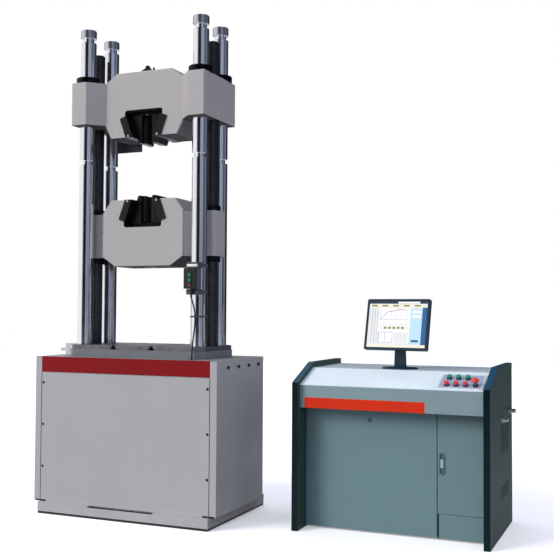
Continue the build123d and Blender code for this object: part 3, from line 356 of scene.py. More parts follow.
def clouds(tree, place, size, detail, harshness, low, high):
    """A value that drifts between two limits over patches of that size."""
    noise = node(tree, "TexNoise", {
        "Vector": place, "Scale": 1 / size, "Detail": detail, "Roughness": harshness,
    })
    return node(tree, "MapRange", {
        "Value": noise.outputs["Fac"],
        "From Min": 0.3, "From Max": 0.7, "To Min": low, "To Max": high,
    }).outputs[0]


def tint(tree, colour, place, size, share):
    """A colour that drifts lighter and darker over patches of that size, as real paint does."""
    value = clouds(tree, place, size, 4.0, 0.6, 1 - share, 1 + share)
    return node(tree, "HueSaturation", {"Value": value, "Color": colour}).outputs["Color"]


def rough(tree, shader, place, size, low, high):
    """Duller and shinier patches of that size; gives the roughness back."""
    value = clouds(tree, place, size, 5.0, 0.65, low, high)
    tree.links.new(value, shader.inputs["Roughness"])
    return value


# Channel paint over rolled steel: satin grey with a mill-scale ripple of 6 mm. The mat
# below it, 12 mm thick, is dull black rubber with dusty patches.
plinth_paint, tree, shader, place = shader_of("plinth_enamel", 0.5)
height = node(tree, "SeparateXYZ", {"Vector": place}).outputs["Z"]
mat_thickness = 0.012
grey = tint(tree, linear("B0B0B1"), place, 0.12, 0.05)
rubber = tint(tree, linear("0E0E10"), place, 0.02, 0.25)
coat(tree, shader, choose(tree, step(tree, height, mat_thickness), rubber, grey))
rough(tree, shader, place, 0.08, 0.42, 0.6)
grain(tree, shader, place, 0.006, 0.0004, 0.4, detail=4.0)
dress(plinth_paint, "plinth")


# Cabinet. Folded sheet panels, three millimetres thick, over an angle frame, powder-coated
# light grey; the front and rear panels are held by black screws.

peel_depth, peel_share = 0.00025, 0.35


def powder_coat(name, colour, peel, gloss, drift=0.03, ior=1.5):
    """Baked powder: even colour, fine orange peel of that size, and a soft sheen."""
    made, tree, shader, place = shader_of(name, gloss, 0.0, ior)
    coat(tree, shader, tint(tree, linear(colour), place, 0.3, drift))
    rough(tree, shader, place, 0.15, gloss * 0.86, gloss * 1.18)
    grain(tree, shader, place, peel, peel_depth, peel_share)
    return made


# Peel of 2.5 mm, twice the real one, so that it shows.
panel_coat = powder_coat("panel_powder_coat", "ACABAB", 0.0025, 0.42)
dress(panel_coat, "cabinet_frame", "front_panel", "side_panels", "rear_panel")

# The deck cover is painted a shade darker than the panels, as painted shade under the table.
dress(powder_coat("deck_coat_with_painted_shade", "8A8B8B", 0.0025, 0.5, 0.06), "deck_cover")

# The header is the same sheet in a deep signal red.
dress(powder_coat("header_red_coat", "82080C", 0.0025, 0.5, 0.05, 1.33), "header_strip")

# The top edge of the front panel is folded over and catches the light as a thin line.
fold_half_width = 0.5105
fold_section = (
    (-0.2862, 0.7538), (-0.2872, 0.7548), (-0.2872, 0.7558),
    (-0.2864, 0.7564), (-0.2832, 0.7564), (-0.2832, 0.7538),
)
fold = bmesh.new()
left_end, right_end = (
    [fold.verts.new((x, y, z)) for y, z in fold_section]
    for x in (-fold_half_width, fold_half_width)
)
join(fold, left_end, right_end)
fold.faces.new(left_end)
fold.faces.new(list(reversed(right_end)))
piece("panel_fold", fold, panel_coat, "base")


# Rubber: black packing fills the two gaps under the corner posts as painted shade, where
# the gaps would lie in shadow; a black edging runs up each seam beside the front panel.
# Dull black with a dusty bloom.
edging_and_shade_packing, tree, shader, place = shader_of("rubber_edging_and_shade_packing", 0.7)
coat(tree, shader, tint(tree, linear("141416"), place, 0.02, 0.25))
rough(tree, shader, place, 0.01, 0.6, 0.8)
grain(tree, shader, place, 0.001, 0.0002, 0.4)


def slab(shape, low, high, edge, steps=2):
    """Adds a block with rounded edges to a bmesh."""
    made = bmesh.ops.create_cube(shape, size=1.0)["verts"]
    for vertex in made:
        vertex.co = Vector([a if c < 0 else b for a, b, c in zip(low, high, vertex.co)])
    edges = list({e for v in made for e in v.link_edges})
    bmesh.ops.bevel(shape, geom=edges, offset=edge, segments=steps, affect="EDGES", profile=0.5)


# The packing blocks are painted shade: a dark piece in each shadowed corner gap.
shade_packing_span, edging_span = (0.475, 0.5462), (0.5095, 0.5130)
strips = bmesh.new()
for side in (-1, 1):
    left, right = sorted(side * x for x in shade_packing_span)
    slab(strips, (left, -0.2855, 0.0623), (right, -0.2832, 0.0707), 0.0004, 1)
    left, right = sorted(side * x for x in edging_span)
    slab(strips, (left, -0.2866, 0.0715), (right, -0.2860, 0.7530), 0.0002, 1)
piece("edging_and_shade_packing", strips, edging_and_shade_packing, "base")


# Panel screws and plugs. Black-oxide button heads with a socket hold the panels; pressed
# plastic plugs close the lifting holes at the top of each side.

# Black oxide: near black, slightly oily, with the fine uneven grain of the bath.
oxide, tree, shader, place = shader_of("black_oxide_screw", 0.38, 0.6)
coat(tree, shader, tint(tree, linear("18181A"), place, 0.006, 0.3))
rough(tree, shader, place, 0.004, 0.28, 0.5)
grain(tree, shader, place, 0.0008, 0.0001, 0.4)

socket_head = [(0, 0.0008), (0.0024, 0.0008), (0.0027, 0.0024), (0.0045, 0.0030),
               (0.0060, 0.0022), (0.0070, 0.0006), (0.0070, 0)]
plug_head = [(0, 0.0100), (0.0042, 0.0098), (0.0068, 0.0088), (0.0079, 0.0066), (0.0080, 0)]
panel_face, side_face = 0.286, 0.55
first_plug, plug_pitch, plug_height = -0.162, 0.125, 0.802
heads = bmesh.new()
for x in (-0.499, 0.499):
    for z in (0.250, 0.475, 0.700):
        turn(heads, socket_head, placed((x, -panel_face, z), pi / 2, "X"), 24)
        turn(heads, socket_head, placed((x, panel_face, z), -pi / 2, "X"), 24)
for side in (-1, 1):
    for i in range(4):
        where = (side * side_face, first_plug + i * plug_pitch, plug_height)
        turn(heads, plug_head, placed(where, side * pi / 2, "Y"), 24)
screw_heads = piece("screw_heads", heads, oxide, "base")
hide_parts("panel_screws")


# Bed, cylinder and screw drive inside the cabinet. Primed castings and plate carry the
# main cylinder; the gear motor turns both screws through an oiled roller chain.


def primed(name, colour, grit):
    """Sprayed primer on a casting: dull, sandy, with darker hollows."""
    made, tree, shader, place = shader_of(name, 0.6)
    coat(tree, shader, tint(tree, linear(colour), place, 0.05, 0.08))
    rough(tree, shader, place, 0.03, 0.5, 0.72)
    sand = node(tree, "TexNoise", {
        "Vector": place, "Scale": 1 / grit, "Detail": 5.0, "Roughness": 0.7,
    })
    relief(tree, shader, sand.outputs["Fac"], 0.0008, 0.5)
    return made


dress(primed("primed_casting", "5A5D62", 0.003), "bed_plate", "screw_bearings")
dress(primed("cylinder_enamel", "66727E", 0.005), "main_cylinder")
dress(primed("motor_enamel", "56606A", 0.004), "drive_motor")

# Oiled chain steel: dark grey metal; the gap after each 19 mm link is painted darker, as
# painted shade between the links. A wave of scale 1 has 20 bands in two pi metres.
chain_pitch = 0.01905
chain_steel, tree, shader, place = shader_of("oiled_chain_steel", 0.35, 1.0)
links = node(tree, "TexWave", {
    "Vector": place, "Scale": 2 * pi / 20 / chain_pitch, "Distortion": 0.0,
}, bands_direction="X")
plates = choose(tree, links.outputs["Fac"], linear("2C2C2E"), linear("7A7A7C"))
coat(tree, shader, tint(tree, plates, place, 0.01, 0.1))
rough(tree, shader, place, 0.01, 0.25, 0.5)
relief(tree, shader, links.outputs["Fac"], 0.0006, 0.5)
dress(chain_steel, "drive_chain", "motor_sprocket")


# Ram and worktable. The ram is ground steel; the table is a casting with painted sides
# and a machined top layer, which has gone dark with oil and use.


def machined(name, colour, pitch, gloss, stretch):
    """Cut steel: cutter marks at that pitch, drawn out along one way, under a film of oil."""
    made, tree, shader, place = shader_of(name, gloss, 1.0)
    drawn = node(tree, "Mapping", {"Vector": place, "Scale": stretch})
    marks = node(tree, "TexNoise", {"Vector": drawn.outputs[0], "Scale": 1 / pitch, "Detail": 3.0})
    light = linear(colour)
    base = choose(tree, marks.outputs["Fac"], (*(c * 0.75 for c in light[:3]), 1.0), light)
    coat(tree, shader, tint(tree, base, place, 0.06, 0.08))
    rough(tree, shader, drawn.outputs[0], pitch * 4, gloss - 0.08, gloss + 0.12)
    relief(tree, shader, marks.outputs["Fac"], 0.0001, 0.5)
    return made


dress(machined("ground_ram_steel", "C8CACD", 0.0012, 0.2, (1, 1, 20)), "ram")

# Table: grey enamel below the step at 880 mm, oil-darkened machined steel above it.
table_metal, tree, shader, place = shader_of("worktable_casting", 0.45)
height = node(tree, "SeparateXYZ", {"Vector": place}).outputs["Z"]
table_step = 0.8803
top_share = step(tree, height, table_step)
enamel = tint(tree, linear("6C7073"), place, 0.12, 0.05)
drawn = node(tree, "Mapping", {"Vector": place, "Scale": (1.0, 14.0, 1.0)})
cuts = node(tree, "TexNoise", {"Vector": drawn.outputs[0], "Scale": 1 / 0.03, "Detail": 4.0})
cut_steel = choose(tree, cuts.outputs["Fac"], linear("626266"), linear("8C8C90"))
stain = node(tree, "TexNoise", {
    "Vector": place, "Scale": 1 / 0.09, "Detail": 5.0, "Roughness": 0.7,
})
cut_steel = choose(tree, step(tree, stain.outputs["Fac"], 0.6, 0.12), cut_steel, linear("5A5651"))
coat(tree, shader, choose(tree, top_share, enamel, cut_steel))
metal = node(tree, "Math", {0: top_share, 1: 0.85}, operation="MULTIPLY")
tree.links.new(metal.outputs[0], shader.inputs["Metallic"])
rough(tree, shader, drawn.outputs[0], 0.05, 0.36, 0.55)
relief(tree, shader, cuts.outputs["Fac"], 0.0003, 0.3)
dress(table_metal, "worktable")


# Columns and their nuts. Four polished, hard-chromed steel columns stand in the table;
# slotted collars of black oxide sit on the ears and bright cap nuts close the tops.

# Hard chrome: a clear mirror with fine grinding rings, 1.5 mm apart, and wiped smears.
column_chrome, tree, shader, place = shader_of("hard_chrome", 0.12, 1.0)
rings = node(tree, "Mapping", {"Vector": place, "Scale": (1.0, 1.0, 60.0)})
grinding = node(tree, "TexNoise", {"Vector": rings.outputs[0], "Scale": 1 / 0.09, "Detail": 2.0})
coat(tree, shader, tint(tree, linear("EAEBF0"), place, 0.2, 0.04))
smears = node(tree, "Mapping", {"Vector": place, "Scale": (1.0, 1.0, 0.25)})
rough(tree, shader, smears.outputs[0], 0.05, 0.08, 0.2)
relief(tree, shader, grinding.outputs["Fac"], 0.00002, 0.25)
dress(column_chrome, "columns")

# Turned steel with rings 1 mm apart: collars below 2.5 m in black oxide, cap nuts bright.
nut_steel, tree, shader, place = shader_of("turned_nut_steel", 0.3, 1.0)
height = node(tree, "SeparateXYZ", {"Vector": place}).outputs["Z"]
bright = step(tree, height, 2.5)
turning = node(tree, "Mapping", {"Vector": place, "Scale": (1.0, 1.0, 30.0)})
rings = node(tree, "TexNoise", {"Vector": turning.outputs[0], "Scale": 1 / 0.03, "Detail": 3.0})
light = choose(tree, rings.outputs["Fac"], linear("A8AAB2"), linear("DCDDE2"))
dark = tint(tree, linear("222224"), place, 0.02, 0.25)
coat(tree, shader, choose(tree, bright, dark, light))
rough(tree, shader, turning.outputs[0], 0.03, 0.2, 0.42)
relief(tree, shader, rings.outputs["Fac"], 0.0002, 0.4)
dress(nut_steel, "column_nuts")


# Lead screws. Long trapezoidal screws of blackened steel, greased, which carry the
# lower crosshead up and down.

# Thread of 14 mm lead, dark with grease; the crest is painted a little lighter, as a painted
# highlight where it would shine.
lead, screw_axis, thread_start = 0.014, 0.365, 0.335
for side, body, name in (
    (-1, "left_screw", "lead_screw_left"),
    (1, "right_screw", "lead_screw_right"),
):
    thread_steel, tree, shader, place = shader_of("greased_thread_" + body, 0.35, 0.9)
    parts = node(tree, "SeparateXYZ", {"Vector": place})
    off = node(tree, "Math", {0: parts.outputs["X"], 1: side * screw_axis}, operation="SUBTRACT")
    angle = node(tree, "Math", {0: parts.outputs["Y"], 1: off.outputs[0]}, operation="ARCTAN2")
    part_turn = node(tree, "Math", {0: angle.outputs[0], 1: 2 * pi}, operation="DIVIDE")
    turns = node(tree, "Math", {0: parts.outputs["Z"], 1: lead}, operation="DIVIDE")
    phase = node(tree, "Math", {0: turns.outputs[0], 1: part_turn.outputs[0]}, operation="SUBTRACT")
    saw = node(tree, "Math", {0: phase.outputs[0], 1: 0.5}, operation="PINGPONG")
    crest = step(tree, saw.outputs[0], 0.23, 0.08)
    threaded = step(tree, parts.outputs["Z"], thread_start)
    form = node(tree, "Math", {0: crest, 1: threaded}, operation="MULTIPLY")
    thread_tone_with_crest_highlight = choose(tree, form.outputs[0], linear("3A3A3E"), linear("48484C"))
    coat(tree, shader, tint(tree, thread_tone_with_crest_highlight, place, 0.04, 0.2))
    rough(tree, shader, place, 0.03, 0.25, 0.5)
    relief(tree, shader, form.outputs[0], 0.0008, 0.25)
    dress(thread_steel, name)


# Crossheads. Heavy steel castings, filled, rubbed down and sprayed with light grey enamel;
# the upper one is fixed on the columns and the lower one rides on the screws.


def within(tree, socket, low, high):
    """1 between two limits and 0 outside them."""
    middle, half = (low + high) / 2, (high - low) / 2
    return node(tree, "Math", {0: socket, 1: middle, 2: half}, operation="COMPARE").outputs[0]


def product(tree, first, second):
    """The share that two shares have in common."""
    return node(tree, "Math", {0: first, 1: second}, operation="MULTIPLY").outputs[0]


def duller(tree, shader, gloss, share, least):
    """Makes the surface at least that rough where the share is 1."""
    dull = product(tree, share, least)
    value = node(tree, "Math", {0: gloss, 1: dull}, operation="MAXIMUM")
    tree.links.new(value.outputs[0], shader.inputs["Roughness"])


# Enamel over filler: smooth with a slow waviness of 40 mm. The wedge pockets open where
# the two crossheads face each other, from 2.040 m up and from 1.695 m down; their walls
# are near black. Faces that look down are painted dark grey and made duller, as painted shade.
head_enamel, tree, shader, place = shader_of("crosshead_enamel", 0.36)
parts = node(tree, "SeparateXYZ", {"Vector": place})
pocket_half_width, pocket_half_depth = 0.149, 0.1035
pocket = product(
    tree,
    product(
        tree,
        within(tree, parts.outputs["X"], -pocket_half_width, pocket_half_width),
        within(tree, parts.outputs["Y"], -pocket_half_depth, pocket_half_depth),
    ),
    node(tree, "Math", {
        0: within(tree, parts.outputs["Z"], 2.040, 2.192),
        1: within(tree, parts.outputs["Z"], 1.543, 1.695),
    }, operation="ADD").outputs[0],
)
pocket_black = tint(tree, linear("121214"), place, 0.03, 0.2)
paint = tint(tree, linear("AEABA8"), place, 0.25, 0.02)
facing = node(tree, "SeparateXYZ", {"Vector": node(tree, "NewGeometry").outputs["True Normal"]})
facing_down_painted_shade = step(tree, facing.outputs["Z"], -0.45, -0.15)
# The dark grey named primer is painted shade under the crosshead, not a real coat.
primer = tint(tree, linear("4E4E4D"), place, 0.1, 0.08)
outer = choose(tree, facing_down_painted_shade, paint, primer)
coat(tree, shader, choose(tree, pocket, outer, pocket_black))
duller(tree, shader, rough(tree, shader, place, 0.3, 0.25, 0.32), facing_down_painted_shade, 0.9)
grain(tree, shader, place, 0.04, 0.00015, 0.15, detail=1.5)
dress(head_enamel, "upper_crosshead", "lower_crosshead")

# Lifting lugs: two low black castings on top of the upper crosshead, each with an eye.
# Rough black enamel on sand-cast iron.
head_top, lug_place, lug_half_thickness = 2.401, 0.064, 0.008
lug_outline = [
    (-0.050, 0.0), (0.050, 0.0), (0.047, 0.006), (0.022, 0.016), (0.011, 0.026), (0.008, 0.036),
    (0.0, 0.0385), (-0.008, 0.036), (-0.011, 0.026), (-0.022, 0.016), (-0.047, 0.006),
]
eye_radius, eye_height = 0.0045, 0.0275
eye_angles = [2 * pi * i / len(lug_outline) - pi / 2 for i in range(len(lug_outline))]
lug_eye = [(eye_radius * cos(t), eye_height + eye_radius * sin(t)) for t in eye_angles]
lugs = bmesh.new()
for middle in (-lug_place, lug_place):
    front_ring, rear_ring, front_hole, rear_hole = (
        [lugs.verts.new((x, y, head_top + z)) for x, z in points]
        for points in (lug_outline, lug_eye)
        for y in (middle - lug_half_thickness, middle + lug_half_thickness)
    )
    join(lugs, front_ring, rear_ring)
    join(lugs, front_hole, rear_hole)
    join(lugs, front_ring[1:] + front_ring[:1], front_hole)
    join(lugs, rear_ring[1:] + rear_ring[:1], rear_hole)
lug_black = primed("lug_black_enamel", "0D0D0E", 0.002)
piece("lifting_lugs", lugs, lug_black, "moving_frame")

# Nuts of the lead screws: turned steel, blackened.
dress(machined("blackened_nut", "2A2A2D", 0.002, 0.35, (1, 1, 12)), "screw_nuts")


# Wedge grips. Hardened jaws slide on lined guide plates, pushed by a yoke on a small
# hydraulic cylinder; everything is blackened and oiled.

# Blackened tool steel: charcoal, with grinding marks along the slide and oily patches.
grip_black, tree, shader, place = shader_of("blackened_tool_steel", 0.4, 0.5)
drawn = node(tree, "Mapping", {"Vector": place, "Scale": (1.0, 12.0, 1.0)})
marks = node(tree, "TexNoise", {"Vector": drawn.outputs[0], "Scale": 1 / 0.02, "Detail": 4.0})
coat(tree, shader, choose(tree, marks.outputs["Fac"], linear("0C0C0E"), linear("1E1E21")))
rough(tree, shader, place, 0.02, 0.3, 0.55)
relief(tree, shader, marks.outputs["Fac"], 0.0002, 0.4)
dress(grip_black, "upper_guide_plates", "lower_guide_plates")
dress(grip_black, "upper_grip_cylinder", "lower_grip_cylinder")

# Jaws: the same steel; the insert, within 36 mm of the middle, has cross teeth of 5 mm.
half_tooth = 0.0025
jaw_black, tree, shader, place = shader_of("serrated_jaw_steel", 0.38, 0.6)
parts = node(tree, "SeparateXYZ", {"Vector": place})
sideways = node(tree, "Math", {0: parts.outputs["X"]}, operation="ABSOLUTE")
toothed = step(tree, sideways.outputs[0], 0.03585, -0.00035)
teeth = node(tree, "Math", {0: parts.outputs["Z"], 1: half_tooth}, operation="PINGPONG")
depth = product(tree, teeth.outputs[0], 1 / half_tooth)
grey = choose(tree, toothed, linear("111113"), linear("2A2A2D"))
coat(tree, shader, tint(tree, grey, place, 0.03, 0.2))
rough(tree, shader, place, 0.02, 0.28, 0.5)
relief(tree, shader, product(tree, depth, toothed), 0.0008, 0.6)
dress(jaw_black, "upper_jaw_left", "upper_jaw_right", "lower_jaw_left", "lower_jaw_right")
yoke_black = machined("blackened_yoke_steel", "1E1E21", 0.003, 0.38, (1, 8, 1))
dress(yoke_black, "upper_jaw_yoke", "lower_jaw_yoke")

# Zinc-plated socket screws hold the guide plates near their open ends, front and rear.
zinc, tree, shader, place = shader_of("bright_zinc", 0.28, 1.0)
coat(tree, shader, tint(tree, linear("D2D3D0"), place, 0.01, 0.1))
rough(tree, shader, place, 0.004, 0.2, 0.42)
grain(tree, shader, place, 0.001, 0.0001, 0.3)
cap_screw = [(0, 0.0015), (0.0030, 0.0015), (0.0032, 0.0050),
             (0.0055, 0.0055), (0.0065, 0.0045), (0.0065, 0)]
plate_face, plate_screw_place = 0.114, 0.0905
for body, name, z in (
    ("moving_frame", "upper_plate_screws", 2.0465),
    ("lower_frame", "lower_plate_screws", 1.6885),
):
    screws = bmesh.new()
    for x in (-plate_screw_place, plate_screw_place):
        for side in (-1, 1):
            turn(screws, cap_screw, placed((x, side * plate_face, z), -side * pi / 2, "X"), 20)
    piece(name, screws, zinc, body)

# A bright grease nipple stands out of the front edge of the upper yoke.
nipple = [(0, 0.0090), (0.0014, 0.0088), (0.0026, 0.0068), (0.0018, 0.0050),
          (0.0030, 0.0046), (0.0042, 0.0036), (0.0042, 0)]
grease = bmesh.new()
turn(grease, nipple, placed((-0.004, -0.056, 2.171), pi / 2, "X"), 20)
piece("yoke_nipple", grease, zinc, "upper_yoke")


# Sign plate. A bare sheet of dark anodised aluminium is riveted to the back of the upper
# crosshead and hangs a little below it.

# Dark anodising: blue-black satin with a faint rolling direction.
anodised, tree, shader, place = shader_of("dark_anodised_sheet", 0.35, 0.8)
drawn = node(tree, "Mapping", {"Vector": place, "Scale": (0.1, 1.0, 1.0)})
lines = node(tree, "TexNoise", {"Vector": drawn.outputs[0], "Scale": 1 / 0.002, "Detail": 2.0})
coat(tree, shader, choose(tree, lines.outputs["Fac"], linear("3A3A46"), linear("50505E")))
rough(tree, shader, place, 0.05, 0.28, 0.45)
relief(tree, shader, lines.outputs["Fac"], 0.0001, 0.3)
sheet = bmesh.new()
sheet_back = 0.1082
slab(sheet, (-0.300, 0.1062, 1.998), (-0.136, sheet_back, 2.110), 0.0006)
rivet = [(0, 0.0018), (0.002, 0.0016), (0.0036, 0.0005), (0.0036, 0)]
for x in (-0.190, -0.146):
    turn(sheet, rivet, placed((x, sheet_back, 2.100), -pi / 2, "X"), 16)
piece("rear_plate", sheet, anodised, "moving_frame")


# Stroke bracket. A small folded plate, painted white, carries the stroke sensor's cord
# on the left end of the table; two screws hold its foot.

dress(powder_coat("bracket_white_coat", "C2C2BE", 0.0015, 0.4), "stroke_bracket")
screws = bmesh.new()
for z in (0.855, 0.870):
    turn(screws, cap_screw, placed((-0.425, -0.075, z), -pi / 2, "Y"), 20)
piece("stroke_screws", screws, oxide, "moving_frame")


# Pendant. A push-button box in grey moulded plastic with a black front hangs on clamps
# on the front column; green buttons move the crosshead and the red one stops it.


def moulded(name, colour, spark_size, gloss):
    """Injection-moulded plastic: even colour under a fine spark-eroded grain."""
    made, tree, shader, place = shader_of(name, gloss, 0.0, 1.46)
    coat(tree, shader, tint(tree, linear(colour), place, 0.05, 0.06))
    rough(tree, shader, place, 0.02, gloss - 0.05, gloss + 0.08)
    spark = node(tree, "TexVoronoi", {"Vector": place, "Scale": 1 / spark_size})
    relief(tree, shader, spark.outputs["Distance"], 0.00015, 0.3)
    return made


# ABS box: the front plate, ahead of y = -0.2130, is black, the body behind it grey.
box_plastic, tree, shader, place = shader_of("pendant_abs", 0.42, 0.0, 1.46)
forward = node(tree, "SeparateXYZ", {"Vector": place}).outputs["Y"]
behind = step(tree, forward, -0.2130)
black = tint(tree, linear("17181A"), place, 0.03, 0.15)
grey = tint(tree, linear("5A5A64"), place, 0.04, 0.06)
coat(tree, shader, choose(tree, behind, black, grey))
rough(tree, shader, place, 0.02, 0.34, 0.5)
spark = node(tree, "TexVoronoi", {"Vector": place, "Scale": 1 / 0.0012})
relief(tree, shader, spark.outputs["Distance"], 0.00015, 0.3)
dress(box_plastic, "pendant_box")
gland_nylon = moulded("gland_nylon", "1A1B1D", 0.001, 0.4)
dress(gland_nylon, "cable_glands")
dress(powder_coat("bracket_dark_coat", "4A4B50", 0.0012, 0.42), "pendant_bracket")

# Cover ring round each button, and the four screws of the front plate.
box_middle, box_face = 0.355, -0.2175
cover_ring = [(0.0114, 0), (0.0114, 0.0016), (0.0120, 0.0024),
              (0.0132, 0.0024), (0.0142, 0.0012), (0.0142, 0)]
small_screw = [(0, 0.0004), (0.0010, 0.0004), (0.0012, 0.0012), (0.0026, 0.0010), (0.0028, 0)]
rings = bmesh.new()
for z in (1.277, 1.250, 1.223):
    turn(rings, cover_ring, placed((box_middle, box_face, z), pi / 2, "X"), hollow=True)
for x in (-0.030, 0.030):
    for z in (1.213, 1.303):
        turn(rings, small_screw, placed((box_middle + x, box_face, z), pi / 2, "X"), 16)
piece("button_rings", rings, gland_nylon, "moving_frame")

# Bare label strip in white laminate across the upper clamp.
label = bmesh.new()
slab(label, (0.3245, -0.1941, 1.3205), (0.3855, -0.1925, 1.3335), 0.0004)
laminate = powder_coat("label_laminate", "F0F0EE", 0.0008, 0.3, 0.02)
piece("pendant_label", label, laminate, "moving_frame")


def button_cap(name, colour):
    """Polycarbonate cap: glossy, with a soft inner tone."""
    made, tree, shader, place = shader_of(name, 0.22, 0.0, 1.585)
    coat(tree, shader, tint(tree, linear(colour), place, 0.01, 0.12))
    rough(tree, shader, place, 0.008, 0.16, 0.32)
    grain(tree, shader, place, 0.002, 0.0002, 0.2)
    return made


dress(button_cap("teal_button_cap", "0C5A40"), "pendant_up_button", "pendant_down_button")
dress(button_cap("dull_red_cap", "4A1A1A"), "pendant_stop_button")


# Console sides. Double-walled sheet sides, powder-coated grey-teal, with dark trim on the
# edges that face the operator; vent slots let the air through.

# Side coat: teal-grey on the flat faces, darker than the doors' teal, partly as painted
# shade; midnight blue-green trim on the edges, painted lighter where the edges face up than
# where they face forward, as painted light; and flatter than the doors, so that the sides
# stay dark when seen along their face.
side_coat, tree, shader, place = shader_of("console_side_coat", 0.62, 0.0, 1.22)
facing = node(tree, "SeparateXYZ", {"Vector": node(tree, "NewGeometry").outputs["True Normal"]})
flat = node(tree, "Math", {0: facing.outputs["X"]}, operation="ABSOLUTE")
front = node(tree, "Math", {0: facing.outputs["Z"]}, operation="ABSOLUTE")
# Edges that face up get the lighter trim tone as painted light.
edge_trim_lit_and_shaded = choose(tree, step(tree, front.outputs[0], 0.5, 0.1), linear("00191B"), linear("1E455B"))
edge_trim_lit_and_shaded = tint(tree, edge_trim_lit_and_shaded, place, 0.15, 0.06)
face_tone_with_painted_shade = tint(tree, linear("3C4E47"), place, 0.3, 0.03)
broad = step(tree, flat.outputs[0], 0.5, 0.1)
coat(tree, shader, choose(tree, broad, edge_trim_lit_and_shaded, face_tone_with_painted_shade))
duller(tree, shader, rough(tree, shader, place, 0.15, 0.24, 0.38), broad, 0.64)
console_peel = 0.0022
grain(tree, shader, place, console_peel, peel_depth, peel_share)
dress(side_coat, "console_sides")

# Carcass: dark inside; its fixed panel under the narrow door wears the door's own teal.
carcass_coat, tree, shader, place = shader_of("carcass_coat", 0.46)
parts = node(tree, "SeparateXYZ", {"Vector": place})
outer = step(tree, parts.outputs["Y"], 0.0270, -0.0002)
under_door = product(
    tree,
    within(tree, parts.outputs["X"], 1.60, 1.85),
    within(tree, parts.outputs["Z"], 0, 0.2),
)
dark = tint(tree, linear("1C282C"), place, 0.2, 0.06)
teal = tint(tree, linear("688588"), place, 0.3, 0.03)
coat(tree, shader, choose(tree, product(tree, outer, under_door), dark, teal))
rough(tree, shader, place, 0.12, 0.4, 0.56)
grain(tree, shader, place, console_peel, peel_depth, peel_share)
dress(carcass_coat, "console_carcass")


# Doors and band. Folded pans hang in front of the carcass; the band above them leans out
# as a sill and carries an orange-red strip of film.

dress(powder_coat("door_teal_coat", "688588", console_peel, 0.42), "big_door")

# Band: lighter teal; the strip is vinyl film laid on its lower half, 53 mm high.
film_left, film_right, film_top, film_back = 0.938, 1.550, 0.662, -0.0815
band_coat, tree, shader, place = shader_of("band_coat_with_film", 0.38, 0.0, 1.33)
parts = node(tree, "SeparateXYZ", {"Vector": place})
film = step(tree, parts.outputs["X"], film_left)
film = product(tree, film, step(tree, parts.outputs["Y"], film_back, -0.0003))
film = product(tree, film, step(tree, parts.outputs["X"], film_right, -0.0002))
film = product(tree, film, step(tree, parts.outputs["Z"], film_top, -0.0002))
teal = tint(tree, linear("83999B"), place, 0.3, 0.03)
orange = tint(tree, linear("D5300C"), place, 0.2, 0.04)
coat(tree, shader, choose(tree, film, teal, orange))
rough(tree, shader, place, 0.12, 0.3, 0.46)
peel = node(tree, "TexNoise", {"Vector": place, "Scale": 1 / console_peel, "Detail": 2.0})
raised = node(tree, "Math", {0: peel.outputs["Fac"], 1: film}, operation="ADD")
relief(tree, shader, raised.outputs[0], peel_depth, peel_share)
dress(band_coat, "console_band")

# Narrow door: the same coat, painted a shade darker on the oval pull ahead of the sheet, as
# painted shade round it; in its dish, 14 mm wide, lies a bright satin grip plate 41 mm high,
# lightened as a painted highlight, between two ends painted dark as shade in the dish.
pull_coat, tree, shader, place = shader_of("door_coat_with_pull", 0.4)
parts = node(tree, "SeparateXYZ", {"Vector": place})
proud = step(tree, parts.outputs["Y"], 0.00575, -0.00025)
teal = tint(tree, linear("688588"), place, 0.3, 0.03)
dish = product(
    tree,
    within(tree, parts.outputs["X"], 1.605, 1.619),
    within(tree, parts.outputs["Z"], 0.319, 0.410),
)
# The bright grip is a painted highlight; the dark ends and darker rim are painted shade.
grip = within(tree, parts.outputs["Z"], 0.344, 0.385)
satin = choose(tree, grip, linear("34474C"), linear("A6BBBF"))
satin = tint(tree, choose(tree, dish, linear("566E73"), satin), place, 0.02, 0.08)
coat(tree, shader, choose(tree, proud, teal, satin))
rough(tree, shader, place, 0.12, 0.34, 0.5)
grain(tree, shader, place, console_peel, peel_depth, peel_share)
dress(pull_coat, "small_door")

# Lock: cam lock in dark nickel plate, with faint turning marks.
dress(machined("dark_nickel_plate", "4C5A60", 0.0008, 0.3, (1, 6, 1)), "door_lock")


# Desk. One sheet, bent at the front of the flat part, in a pale blue-white powder coat.

dress(powder_coat("desk_pale_coat", "D3E0E4", 0.002, 0.22, 0.015), "console_desk")


# Button plate. A brushed aluminium panel with a pale border lies on the slope; black
# collars hold three green and three red buttons and the emergency stop.

desk_front, desk_front_level = -0.082, 0.725
slope_run, slope_rise = 0.187, 0.075
length = sqrt(slope_run ** 2 + slope_rise ** 2)
normal = Vector((0, -slope_rise / length, slope_run / length))
along = Vector((0, slope_run / length, slope_rise / length))
corner = Vector((0, desk_front, desk_front_level))
plate_left, plate_start = 1.603, 0.013
plate_half_width, plate_half_length = 0.1075, 0.076
border, bezel_foot, cap_foot = 0.008, 0.0045, 0.0280


def off_corner(tree, place, direction, start=0.0):
    """Distance from the front corner of the slope along a direction, less a start."""
    way = node(tree, "VectorMath", {0: place, 1: tuple(direction)}, operation="DOT_PRODUCT")
    begin = corner.dot(direction) + start
    return node(tree, "Math", {0: way.outputs["Value"], 1: begin}, operation="SUBTRACT").outputs[0]


